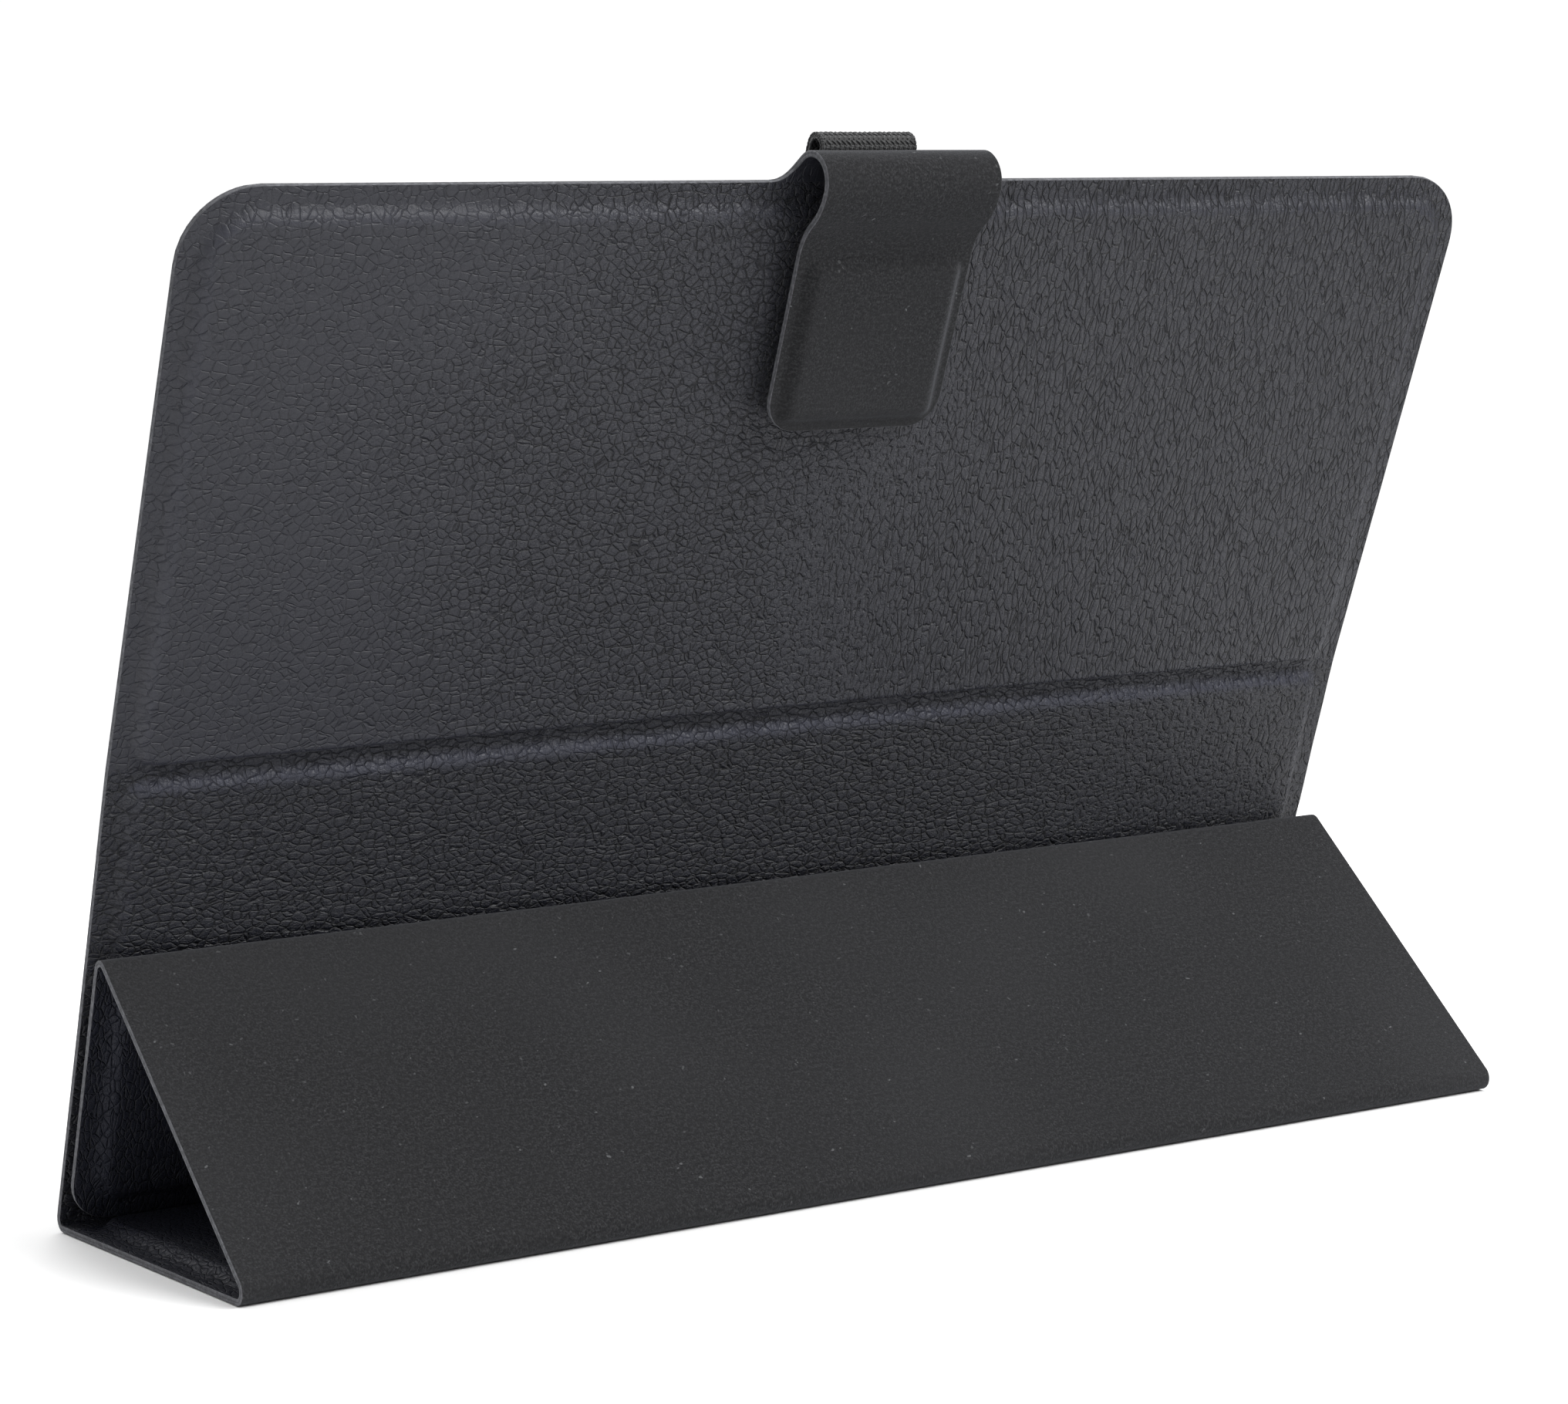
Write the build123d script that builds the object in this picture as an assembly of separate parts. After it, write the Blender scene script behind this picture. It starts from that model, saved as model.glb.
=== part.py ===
"""Folio tablet case, standing on its folded front cover.

+X runs along the case's width, -Y is the side that the grained outer skin of the back faces, +Z is up.
The origin is the centre of the flat underside of the base panel. Sizes are in millimetres.

Every panel has its own place: local X is the width, local Y runs along the opened case from the
flap's free end towards the back's top edge, and local Z points out of the grained side, with the
lining's surface at zero.
"""
import os
from math import acos, atan2, degrees, radians, sin, tan

from build123d import *

# ---- driving dimensions ------------------------------------------------------------------------
width = 262.0               # whole case, left to right
skin_t = 0.6                # grained outer skin
lining_t = 0.5              # microfibre lining
board_t = 1.6               # stiff board inside each panel

flap_len = 48.7             # flat lengths of the five panels, between their folds
riser_len = 65.3
base_len = 65.4
lower_len = 82.3
upper_len = 101.2

crease_bend = 2.8           # the upper back leans this much further over
crease_w = 1.4              # bare strip at the crease
fold_r = 2.4                # outer radius of the front and top folds
spine_r = 2.2               # outer radius of the soft spine's bend
spine_foot = 4.4            # bare strip from the bend to the base panel
spine_heel = 1.3            # bare strip from the bend to the lower back
flap_gap = 1.4              # between the flap and the lower back's skin
flap_toe = 2.83             # from the flap's free end to the sharp corner below it

edge = 3.0                  # pressed edge around a panel's board
bevel = 2.0                 # slope from the pressed edge up to the raised board
fold_edge = 0.4             # the same two beside the crease and the spine
fold_bevel = 0.4
stand_edge = 1.2            # pressed edge beside the front and top folds
crease_bevel = 2.0          # the lower back's gentle slope down into the crease
back_corner_r = 13.0
flap_corner_r = 7.5
board_corner_r = 5.5
least_corner_r = 0.5        # smallest corner left on a board's top

strap_w = 35.4              # closing strap
strap_shift = -2.1          # its middle, from the middle of the case
strap_loop_r = 4.8          # middle of the laminate, round the strap's fold
strap_rise = 1.55           # straight rise from the back's top edge
strap_drop = 13.2           # from the fold's end down to the pad
strap_pad_gap = 2.7         # pad to the upper back's skin
strap_pad_len = 31.8
strap_corner_r = 6.0
strap_edge = 2.0            # pressed edge around the strap's magnet board
strap_bevel = 1.2

loop_w = 19.0               # elastic pen loop, along the top edge
loop_shift = -5.2           # its middle, from the middle of the case
loop_t = 1.2
loop_depth = 5.2
loop_rise = 7.4             # above the back's top edge
loop_leg = 4.4              # sewn on below the top edge

carrier_w = 236.0           # covered plate that holds the tablet
carrier_h = 172.0
carrier_drop = 5.8          # its top edge, below the back's top edge
carrier_corner_r = 10.0
carrier_board_t = 0.8
carrier_cover_t = 0.4
tape_t = 0.3
tape_inset = 8.0
tape_corner_r = 4.0
corner_strap_w = 12.0
corner_strap_t = 0.9
corner_strap_reach = 30.0   # where a strap's middle crosses each edge, from the corner
tack_t = 0.3                # bar tacks: their thickness, width, inset from a strap's cut end,
tack_w = 1.5                # and how much shorter than the strap's width they are
tack_inset = 2.5
tack_short = 3.0

magnet_l = 20.0             # bar magnets in the flap and the plates that they hold to
magnet_w = 6.0
magnet_t = 1.0
magnet_offset = 78.0        # from the middle of the case
magnet_inset = 9.0          # from the flap's free end
keeper_margin = 3.0         # keeper plates are larger than their magnets
keeper_t = 0.6
keeper_depth = 0.2          # board left over a keeper plate, on the grained side
strap_magnet_l = 16.0
strap_magnet_w = 8.0
strap_magnet_depth = 0.3    # board left between the strap's skin and its magnet

# ---- section through the folded case -----------------------------------------------------------
sheet_t = skin_t + lining_t
panel_t = sheet_t + board_t
mid = sheet_t / 2                        # middle of the bare laminate, above the lining's surface


def tangent(radius, turn):
    """Length from a bend's start to its sharp corner, for a turn in degrees."""
    return radius * tan(radians(turn / 2))


def far_angle(near_a, near_b, opposite):
    """Angle between two sides of a triangle, in degrees, from the three sides."""
    return degrees(acos((near_a ** 2 + near_b ** 2 - opposite ** 2) / (2 * near_a * near_b)))


def stand_angles():
    """Angles of the lower back and the riser, up from the table.

    Base, riser and flap close into a triangle, with the flap beside the lower back's skin. Its sides
    run to the sharp corners of the bends, which depend on the angles, so they are found in steps.
    """
    back, slope = 65.0, 45.0
    for _ in range(100):
        front = tangent(fold_r, 180 - slope)
        top = tangent(fold_r, slope + back)
        foot = spine_foot + tangent(spine_r, 180 - back)
        floor = foot + base_len + front - (panel_t + flap_gap) / sin(radians(back))
        rise = front + riser_len + top
        lean = top + flap_len + flap_toe
        back = (back + far_angle(floor, lean, rise)) / 2
        slope = (slope + far_angle(floor, rise, lean)) / 2
    return back, slope


back_angle, riser_angle = stand_angles()
front_turn = 180 - riser_angle
top_turn = riser_angle + back_angle
spine_turn = 180 - back_angle


def ahead(place, distance):
    """A panel's place, moved along the case."""
    return place.offset(0).shift_origin(place.from_local_coords((0, distance, 0)))


def bent(place, turn, radius):
    """Place beyond a bend that starts at place and turns towards the grained side."""
    centre = place.from_local_coords((0, 0, radius))
    turned = place.rotated((turn, 0, 0))
    return Plane(origin=centre - turned.z_dir * radius, x_dir=turned.x_dir, z_dir=turned.z_dir)


def unbent(place, turn, radius):
    """Place where a bend that ends at place starts."""
    centre = place.from_local_coords((0, 0, radius))
    turned = place.rotated((-turn, 0, 0))
    return Plane(origin=centre - turned.z_dir * radius, x_dir=turned.x_dir, z_dir=turned.z_dir)


base = Plane(origin=(0, -base_len / 2, 0), x_dir=(1, 0, 0), z_dir=(0, 0, 1))
front_bend = unbent(base, front_turn, fold_r)
riser = ahead(front_bend, -riser_len)
top_bend = unbent(riser, top_turn, fold_r)
flap = ahead(top_bend, -flap_len)
base_strip = ahead(base, base_len)
spine_start = ahead(base_strip, spine_foot)
spine_third = spine_turn / 3
spine_mid = bent(spine_start, spine_third, spine_r)
spine_end = bent(spine_mid, spine_third, spine_r)
heel = bent(spine_end, spine_third, spine_r)
lower = ahead(heel, spine_heel)
crease = ahead(lower, lower_len)
crease_r = crease_w / radians(crease_bend)
upper = bent(crease, crease_bend, crease_r)
top_edge = ahead(upper, upper_len)


# ---- building blocks ---------------------------------------------------------------------------
def outline(x_half, v0, v1, r0, r1):
    """Flat rectangle between v0 and v1 with its own corner radius at each end."""
    face = Pos(0, (v0 + v1) / 2) * Rectangle(2 * x_half, v1 - v0)
    low = face.vertices().sort_by(Axis.Y)[:2]
    if r0 > 0:
        face = fillet(low, r0)
    high = face.vertices().sort_by(Axis.Y)[-2:]
    if r1 > 0:
        face = fillet(high, r1)
    return face


def raised(x_half, v0, v1, r0, r1, slopes, low, high):
    """Flat-topped rise: its foot is the outline, and slopes is its run at the sides, v0 and v1."""
    side, at0, at1 = slopes
    foot = Plane.XY.offset(low) * outline(x_half, v0, v1, r0, r1)
    top0 = max(r0 - side, least_corner_r)
    top1 = max(r1 - side, least_corner_r)
    top = Plane.XY.offset(high) * outline(x_half - side, v0 + at0, v1 - at1, top0, top1)
    return loft([foot.face(), top.face()])


def panel(length, ends, corners, inserts=(), x_half=width / 2, side=(edge, bevel), layers=None):
    """Flat layer, cover and board of one panel, in its own place.

    ends gives the pressed edge and bevel at v = 0 and at v = length, corners the radii of the sheet
    and of the board at each, and layers the thickness of the flat layer and the cover.
    """
    flat_t, cover_t = layers or (lining_t, skin_t)
    (edge0, slope0), (edge1, slope1) = ends
    (r0, board_r0), (r1, board_r1) = corners
    sheet = outline(x_half, 0, length, r0, r1)
    flat = extrude(sheet, flat_t)
    foot = (x_half - side[0], edge0, length - edge1, board_r0, board_r1)
    rise = raised(*foot, (side[1], slope0, slope1), flat_t + cover_t, flat_t + cover_t + board_t)
    envelope = Pos(0, 0, flat_t) * extrude(sheet, cover_t) + rise
    board_face = outline(
        x_half - sum(side), edge0 + slope0, length - edge1 - slope1,
        max(board_r0 - side[1], least_corner_r), max(board_r1 - side[1], least_corner_r))
    block = Pos(0, 0, flat_t) * extrude(board_face, board_t)
    board = block
    for insert in inserts:
        board -= insert
    return {"flat": flat, "cover": envelope - block, "board": board}


def strip(place, length, x_half, low, high):
    """Bare layer of the laminate, flat."""
    return place * (Pos(0, length / 2, low) * Box(
        2 * x_half, length, high - low, align=(Align.CENTER, Align.CENTER, Align.MIN)))


def bend(place, turn, radius, x_half, low, high):
    """Bare layer of the laminate, round a bend that starts at place and turns to the grained side."""
    outer = CenterArc((0, radius), radius - low, -90, turn)
    inner = CenterArc((0, radius), radius - high, -90, turn)
    face = make_face([outer, inner, Line(outer @ 0, inner @ 0), Line(outer @ 1, inner @ 1)])
    section = Plane(origin=place.from_local_coords((-x_half, 0, 0)), x_dir=place.y_dir, z_dir=place.x_dir)
    return extrude(section * face, 2 * x_half, dir=place.x_dir)


def plate(place_x, place_v, size_x, size_v, low, thickness):
    """Flat rectangular plate, in a panel's own place."""
    return Pos(place_x, place_v, low) * Box(
        size_x, size_v, thickness, align=(Align.CENTER, Align.CENTER, Align.MIN))


skin_layer = (lining_t, sheet_t)
lining_layer = (0.0, lining_t)
half = width / 2
nodes = {}

# ---- magnets and keeper plates, sealed in the boards -------------------------------------------
magnet_low = lining_t + (board_t - magnet_t) / 2
keeper_low = lining_t + board_t - keeper_t - keeper_depth
flap_magnets = [plate(side * magnet_offset, magnet_inset, magnet_l, magnet_w, magnet_low, magnet_t)
                for side in (-1, 1)]
# the flap's magnets lie beside this height on the lower back
meeting = lower.to_local_coords(flap.from_local_coords((0, magnet_inset, 0))).Y
lower_keepers = [plate(side * magnet_offset, meeting, magnet_l + 2 * keeper_margin,
                       magnet_w + 2 * keeper_margin, keeper_low, keeper_t) for side in (-1, 1)]
pad_middle = strap_rise - strap_drop - strap_pad_len / 2
closing_size = (strap_magnet_l + 2 * keeper_margin, strap_magnet_w + 2 * keeper_margin)
upper_keeper = plate(strap_shift, upper_len + pad_middle, *closing_size, keeper_low, keeper_t)
flap_keeper = plate(strap_shift, -pad_middle, *closing_size, keeper_low, keeper_t)

# ---- panels ------------------------------------------------------------------------------------
at_fold = (fold_edge, fold_bevel)
at_stand = (stand_edge, fold_bevel)
at_edge = (edge, bevel)
inner_corner = (0, board_corner_r)
panels = {
    "upper": (upper, upper_len, (at_fold, at_edge),
              (inner_corner, (back_corner_r, back_corner_r - edge)), [upper_keeper]),
    "lower": (lower, lower_len, (at_fold, (fold_edge, crease_bevel)),
              (inner_corner, inner_corner), lower_keepers),
    "base": (base, base_len, (at_stand, at_fold), (inner_corner, inner_corner), []),
    "riser": (riser, riser_len, (at_stand, at_stand), (inner_corner, inner_corner), []),
    "flap": (flap, flap_len, (at_edge, at_stand),
             ((flap_corner_r, flap_corner_r - edge + bevel), inner_corner), flap_magnets + [flap_keeper]),
}
for name, (place, length, ends, corners, inserts) in panels.items():
    pieces = panel(length, ends, corners, inserts)
    nodes[name + "_lining"] = place * pieces["flat"]
    nodes[name + "_skin"] = place * pieces["cover"]
    nodes[name + "_board"] = place * pieces["board"]
nodes["flap_magnets"] = flap * Compound(flap_magnets)
nodes["flap_keeper"] = flap * flap_keeper
nodes["lower_keepers"] = lower * Compound(lower_keepers)
nodes["upper_keeper"] = upper * upper_keeper

# ---- folds between the panels, and the soft spine ----------------------------------------------
for layer, span in {"skin": skin_layer, "lining": lining_layer}.items():
    nodes["top_fold_" + layer] = bend(top_bend, top_turn, fold_r, half, *span)
    nodes["front_fold_" + layer] = bend(front_bend, front_turn, fold_r, half, *span)
    nodes["base_hinge_" + layer] = (
        strip(base_strip, spine_foot, half, *span)
        + bend(spine_start, spine_third, spine_r, half, *span))
    nodes["spine_" + layer] = bend(spine_mid, spine_third, spine_r, half, *span)
    nodes["back_hinge_" + layer] = (
        bend(spine_end, spine_third, spine_r, half, *span) + strip(heel, spine_heel, half, *span))
    nodes["crease_" + layer] = bend(crease, crease_bend, crease_r, half, *span)

# ---- closing strap -----------------------------------------------------------------------------
strap_half = strap_w / 2
strap_bend_r = strap_loop_r + mid             # the lining's surface, outside the fold
bridge_turn = 30.0                            # middle of the fold, between its two soft bends
soft_turn = (180 - bridge_turn) / 2
strap_seat = Plane(
    origin=top_edge.from_local_coords((strap_shift, 0, 0)), x_dir=top_edge.x_dir, z_dir=top_edge.z_dir)
strap_start = ahead(strap_seat, strap_rise)
bridge = bent(strap_start, soft_turn, strap_bend_r)
tip_bend = bent(bridge, bridge_turn, strap_bend_r)
drop = bent(tip_bend, soft_turn, strap_bend_r)
# the strap eases in from its fold to the pad in two equal arcs
pad_n = panel_t + strap_pad_gap + sheet_t     # lining's surface at the pad's pressed edge
ease = drop.origin - upper.from_local_coords((0, 0, pad_n))
ease_depth = ease.dot(upper.z_dir)
ease_turn = 2 * degrees(atan2(ease_depth, strap_drop))
ease_r = (strap_drop ** 2 + ease_depth ** 2) / (4 * ease_depth)
waist = bent(drop, ease_turn, ease_r)


def bend_back(place, turn, radius, x_half, low, high):
    """As bend, but turning towards the lining."""
    outer = CenterArc((0, -radius), radius + high, 90, -turn)
    inner = CenterArc((0, -radius), radius + low, 90, -turn)
    face = make_face([outer, inner, Line(outer @ 0, inner @ 0), Line(outer @ 1, inner @ 1)])
    section = Plane(origin=place.from_local_coords((-x_half, 0, 0)), x_dir=place.y_dir, z_dir=place.x_dir)
    return extrude(section * face, 2 * x_half, dir=place.x_dir)


def bent_back(place, turn, radius):
    """Place beyond a bend that turns towards the lining."""
    centre = place.from_local_coords((0, 0, -radius))
    turned = place.rotated((-turn, 0, 0))
    return Plane(origin=centre + turned.z_dir * radius, x_dir=turned.x_dir, z_dir=turned.z_dir)


pad = bent_back(waist, ease_turn, ease_r)
strap_magnet_low = skin_t + strap_magnet_depth
# the pad's board lifts the lining, so its panel is built with the skin as the flat layer
pad_panel = panel(
    strap_pad_len, (at_stand, (strap_edge, strap_bevel)),
    ((0, board_corner_r / 2), (strap_corner_r, board_corner_r / 2)),
    [plate(0, strap_pad_len / 2, strap_magnet_l, strap_magnet_w, strap_magnet_low, magnet_t)],
    x_half=strap_half, side=(strap_edge, strap_bevel), layers=(skin_t, lining_t))
pad_turned = Plane(origin=pad.from_local_coords((0, 0, sheet_t)), x_dir=-pad.x_dir, z_dir=-pad.z_dir)
for layer, span in {"skin": skin_layer, "lining": lining_layer}.items():
    nodes["strap_root_" + layer] = (
        strip(strap_seat, strap_rise, strap_half, *span)
        + bend(strap_start, soft_turn, strap_bend_r, strap_half, *span))
    nodes["strap_bridge_" + layer] = bend(bridge, bridge_turn, strap_bend_r, strap_half, *span)
    nodes["strap_bend_" + layer] = bend(tip_bend, soft_turn, strap_bend_r, strap_half, *span)
    eased = (bend(drop, ease_turn, ease_r, strap_half, *span)
             + bend_back(waist, ease_turn, ease_r, strap_half, *span))
    side_of_pad = "flat" if layer == "skin" else "cover"
    nodes["strap_tongue_" + layer] = eased + pad_turned * pad_panel[side_of_pad]
nodes["strap_board"] = pad_turned * pad_panel["board"]
nodes["strap_magnet"] = pad_turned * plate(
    0, strap_pad_len / 2, strap_magnet_l, strap_magnet_w, strap_magnet_low, magnet_t)

# ---- pen loop ----------------------------------------------------------------------------------
loop_gap = 0.1                                # clear of the strap's root
loop_foot = 0.4                               # the loop opens this far above the top edge
loop_flat = 0.01                              # flat left between its rounded corners
loop_height = loop_rise - loop_foot
loop_face = Pos(loop_foot + loop_height / 2, -loop_depth / 2) * RectangleRounded(
    loop_height, loop_depth, loop_depth / 2 - loop_flat)
hollow = Pos(loop_foot + loop_height / 2, -loop_depth / 2) * RectangleRounded(
    loop_height - 2 * loop_t, loop_depth - 2 * loop_t, loop_depth / 2 - loop_t - loop_flat)
leg_run = loop_foot + loop_t + loop_leg
legs = Pos((loop_foot + loop_t - loop_leg) / 2, -loop_t) * Rectangle(leg_run, 2 * loop_t)
loop_section = Plane(
    origin=top_edge.from_local_coords((loop_shift - loop_w / 2, 0, -loop_gap)),
    x_dir=top_edge.y_dir, z_dir=top_edge.x_dir)
nodes["pen_loop"] = extrude(loop_section * (loop_face + legs - hollow), loop_w, dir=top_edge.x_dir)

# ---- tablet carrier ----------------------------------------------------------------------------
carrier_top = upper_len - carrier_drop
carrier_low = carrier_top - carrier_h
carrier_half = carrier_w / 2
tape = outline(
    carrier_half - tape_inset, tape_inset, carrier_top - tape_inset, tape_corner_r, tape_corner_r)
nodes["carrier_tape"] = upper * (Pos(0, 0, -tape_t) * extrude(tape, tape_t))
carrier_face = outline(carrier_half, carrier_low, carrier_top, carrier_corner_r, carrier_corner_r)
cover_face = offset(carrier_face, carrier_cover_t)
board_low = -tape_t - carrier_board_t
cover_low = board_low - carrier_cover_t
carrier_board = Pos(0, 0, board_low) * extrude(carrier_face, carrier_board_t)
nodes["carrier_board"] = upper * carrier_board
nodes["carrier_cover"] = upper * (
    Pos(0, 0, cover_low) * extrude(cover_face, carrier_board_t + carrier_cover_t) - carrier_board)
strap_low = cover_low - corner_strap_t
tacks = []
carrier_middle = (carrier_top + carrier_low) / 2
for across, side in (("left", -1), ("right", 1)):
    for along, end in (("bottom", -1), ("top", 1)):
        corner = (side * carrier_half, carrier_middle + end * carrier_h / 2)
        turn = 45 * side * end
        middle = (corner[0] - side * corner_strap_reach / 2, corner[1] - end * corner_strap_reach / 2)
        band = Pos(*middle) * Rot(0, 0, -turn) * Rectangle(4 * corner_strap_reach, corner_strap_w)
        nodes[f"corner_strap_{along}_{across}"] = upper * (
            Pos(0, 0, strap_low) * extrude(band & carrier_face, corner_strap_t))
        far_inset = corner_strap_reach - tack_inset
        for dx, dv in ((tack_inset, far_inset), (far_inset, tack_inset)):
            spot = Pos(corner[0] - side * dx, corner[1] - end * dv, strap_low - tack_t)
            tacks.append(spot * Rot(0, 0, -turn + 90) * Box(
                corner_strap_w - tack_short, tack_w, tack_t, align=(Align.CENTER, Align.CENTER, Align.MIN)))
nodes["strap_bar_tacks"] = upper * Compound(tacks)

# ---- joint axes, along X, as (y, z) ------------------------------------------------------------
axis_out = 1.0                                # spine axes lie this far outside the laminate's middle
axis_in = 0.5                                 # and this far in from the boards' edges
strap_axis_out = 1.25


def at(place, v, n):
    point = place.from_local_coords((0, v, n))
    return round(point.Y, 3), round(point.Z, 3)


def fold_axis(place, turn, radius):
    """Axis that lets a bend open flat without a change of length."""
    middle_r = radius - mid
    half_turn = radians(turn / 2)
    return at(place, middle_r * half_turn, mid + middle_r * (1 - half_turn / tan(half_turn)))


axes = {
    "crease": fold_axis(crease, crease_bend, crease_r),
    "back_hinge": at(lower, -axis_in, mid - axis_out),
    "base_hinge": at(base_strip, axis_in, mid - axis_out),
    "front_fold": fold_axis(front_bend, front_turn, fold_r),
    "top_fold": at(top_bend, 0, fold_r),
    "strap_root": at(top_edge, strap_rise - axis_in, mid - strap_axis_out),
    "strap_fold": at(top_edge, strap_rise - axis_in, mid + 2 * strap_loop_r + strap_axis_out),
}

if __name__ == "__main__":
    os.makedirs("parts", exist_ok=True)
    for name, shape in nodes.items():
        export_step(shape if isinstance(shape, (Solid, Compound)) else Compound(shape), f"parts/{name}.step")
    print("nodes", len(nodes), "back angle", round(back_angle, 2), "riser angle", round(riser_angle, 2))
    for name, (y, z) in axes.items():
        print("axis", name, "y", y, "z", z)
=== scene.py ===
from math import acos, atan2, cos, pi, radians, sin

import bpy
import numpy as np
from mathutils import Matrix, Vector


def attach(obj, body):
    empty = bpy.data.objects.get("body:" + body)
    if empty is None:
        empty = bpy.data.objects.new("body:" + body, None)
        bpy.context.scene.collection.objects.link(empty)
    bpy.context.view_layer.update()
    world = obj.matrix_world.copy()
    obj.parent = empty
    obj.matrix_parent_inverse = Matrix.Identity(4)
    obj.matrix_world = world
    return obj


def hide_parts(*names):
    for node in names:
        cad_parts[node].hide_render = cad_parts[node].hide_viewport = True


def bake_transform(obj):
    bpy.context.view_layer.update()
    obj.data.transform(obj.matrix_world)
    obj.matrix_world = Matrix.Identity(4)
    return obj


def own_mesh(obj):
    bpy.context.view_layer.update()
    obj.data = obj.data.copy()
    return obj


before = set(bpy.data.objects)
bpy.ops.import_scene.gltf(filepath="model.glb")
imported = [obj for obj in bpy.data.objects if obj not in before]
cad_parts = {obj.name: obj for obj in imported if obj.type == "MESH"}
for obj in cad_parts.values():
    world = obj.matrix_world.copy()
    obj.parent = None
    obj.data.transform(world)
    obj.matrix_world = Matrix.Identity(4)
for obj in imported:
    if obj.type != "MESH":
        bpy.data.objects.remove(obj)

bl_info = {
    "name": "Folio tablet case",
    "version": (1, 0, 0),
    "blender": (4, 5, 0),
    "location": "3D View > Sidebar > Folio case",
    "description": "Covers, linings, strap, pen loop and tablet carrier of a folding tablet case",
    "category": "Object",
}

MM = 0.001
FARTHEST_LEFT = -100 * MM
SHARP_SLOPE, GENTLE_SLOPE = 0.4 * MM, 1.6 * MM  # a bevel's width: sharp at its foot, and soft
SHOULDER = 0.9 * MM  # width of the painted highlight band along a board's upper edge
NOISE_GRID = 128
RIM_STEPS = (0.12, 0.5, 0.88)  # where a sheet's rim has its rings, as shares of its thickness
TACK_STITCHES, TACK_INSET = 13, 3.5 * MM
FLOOR_SIDES, FLOOR_RADIUS, FLOOR_DROP = 96, 0.55, 0.2 * MM
BACKDROP = 1.05  # brightness of the backdrop as the camera sees it
LIT_POINT = (0.0, 0.0, 0.09)
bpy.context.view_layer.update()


# ---- sizes and colours -------------------------------------------------------------------------
def number(name, description, default, **kind):
    return bpy.props.FloatProperty(name=name, description=description, default=default, **kind)


def length(name, description, default, least=0.0):
    return number(name, description, default, min=least, precision=5, subtype="DISTANCE", unit="LENGTH")


def colour(name, description, default):
    return bpy.props.FloatVectorProperty(
        name=name, description=description, default=default, size=3, min=0.0, max=1.0, subtype="COLOR")


class CaseSizes(bpy.types.PropertyGroup):
    skin: length("Skin", "Thickness of the grained outer skin", 0.6 * MM)
    lining: length("Lining", "Thickness of the microfibre lining", 0.5 * MM)
    board: length("Board", "Thickness of the stiff board in a panel", 1.6 * MM)
    edge: length("Pressed edge", "Flat border outside a panel's board", 3.0 * MM)
    bevel: length("Bevel", "Slope from the border up to the raised board", 2.0 * MM)
    fold_edge: length("Fold edge", "The border beside the crease and the spine", 0.4 * MM)
    fold_bevel: length("Fold bevel", "The slope beside a fold", 0.4 * MM)
    crease_bevel: length("Crease bevel", "The lower back's gentle slope down into the crease", 2.0 * MM)
    stand_edge: length("Stand edge", "The border beside the front and top folds", 1.2 * MM)
    back_corner: length("Back corner", "Radius of the back's top corners", 13.0 * MM)
    flap_corner: length("Flap corner", "Radius of the flap's free corners", 7.5 * MM)
    board_corner: length("Board corner", "Radius of a board's corners beside a fold", 5.5 * MM)
    spine_radius: length("Spine radius", "Bend of the soft spine, at the lining", 2.2 * MM)
    round_over: length("Round over", "How far in a board's upper edge is rounded", 0.8 * MM)
    rim: length("Rim", "How far the cut edge bulges", 0.12 * MM)
    mesh_step: length("Mesh step", "Spacing of the covers' mesh", 1.0 * MM)


class StrapSizes(bpy.types.PropertyGroup):
    width: length("Width", "Width of the closing strap", 35.4 * MM)
    shift: length("Shift", "Middle of the strap, from the middle of the case", -2.1 * MM, FARTHEST_LEFT)
    rise: length("Rise", "Straight stretch above the back's top edge", 1.55 * MM)
    radius: length("Loop radius", "Bend of the strap's fold, at the lining", 5.35 * MM)
    pad: length("Pad", "Length of the magnet pad", 31.8 * MM)
    corner: length("Corner", "Radius of the pad's free corners", 6.0 * MM)
    edge: length("Pressed edge", "Flat border around the pad's board", 1.2 * MM)
    bevel: length("Bevel", "Slope up to the pad's board", 2.0 * MM)
    flare: length("Flare", "Radius where the strap widens into the back's top edge", 5.0 * MM)


class LoopSizes(bpy.types.PropertyGroup):
    width: length("Width", "Width of the elastic pen loop, along the top edge", 19.0 * MM)
    shift: length("Shift", "Middle of the pen loop, from the middle of the case", -5.2 * MM, FARTHEST_LEFT)
    thickness: length("Thickness", "Thickness of the elastic", 1.2 * MM)
    depth: length("Depth", "Front to back", 5.2 * MM)
    rise: length("Rise", "Above the back's top edge", 7.4 * MM)
    leg: length("Leg", "Sewn on below the top edge", 4.4 * MM)
    gap: length("Gap", "Clear of the lining", 0.1 * MM)
    yarn_pitch: length("Yarn pitch", "From one yarn to the next across the elastic", 0.95 * MM)
    yarn_row: length("Row", "From one row of yarns to the next", 0.72 * MM)
    yarn_length: length("Yarn length", "Length of the yarn that shows in one float", 1.15 * MM)
    yarn_width: length("Yarn width", "Width of a yarn", 0.42 * MM)


class CarrierSizes(bpy.types.PropertyGroup):
    corner: length("Corner", "Radius of the plate's corners", 10.4 * MM)
    strap_width: length("Corner strap width", "Width of an elastic corner strap", 12.0 * MM)
    rib_pitch: length("Rib pitch", "From one rib of the elastic to the next", 1.1 * MM)


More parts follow.
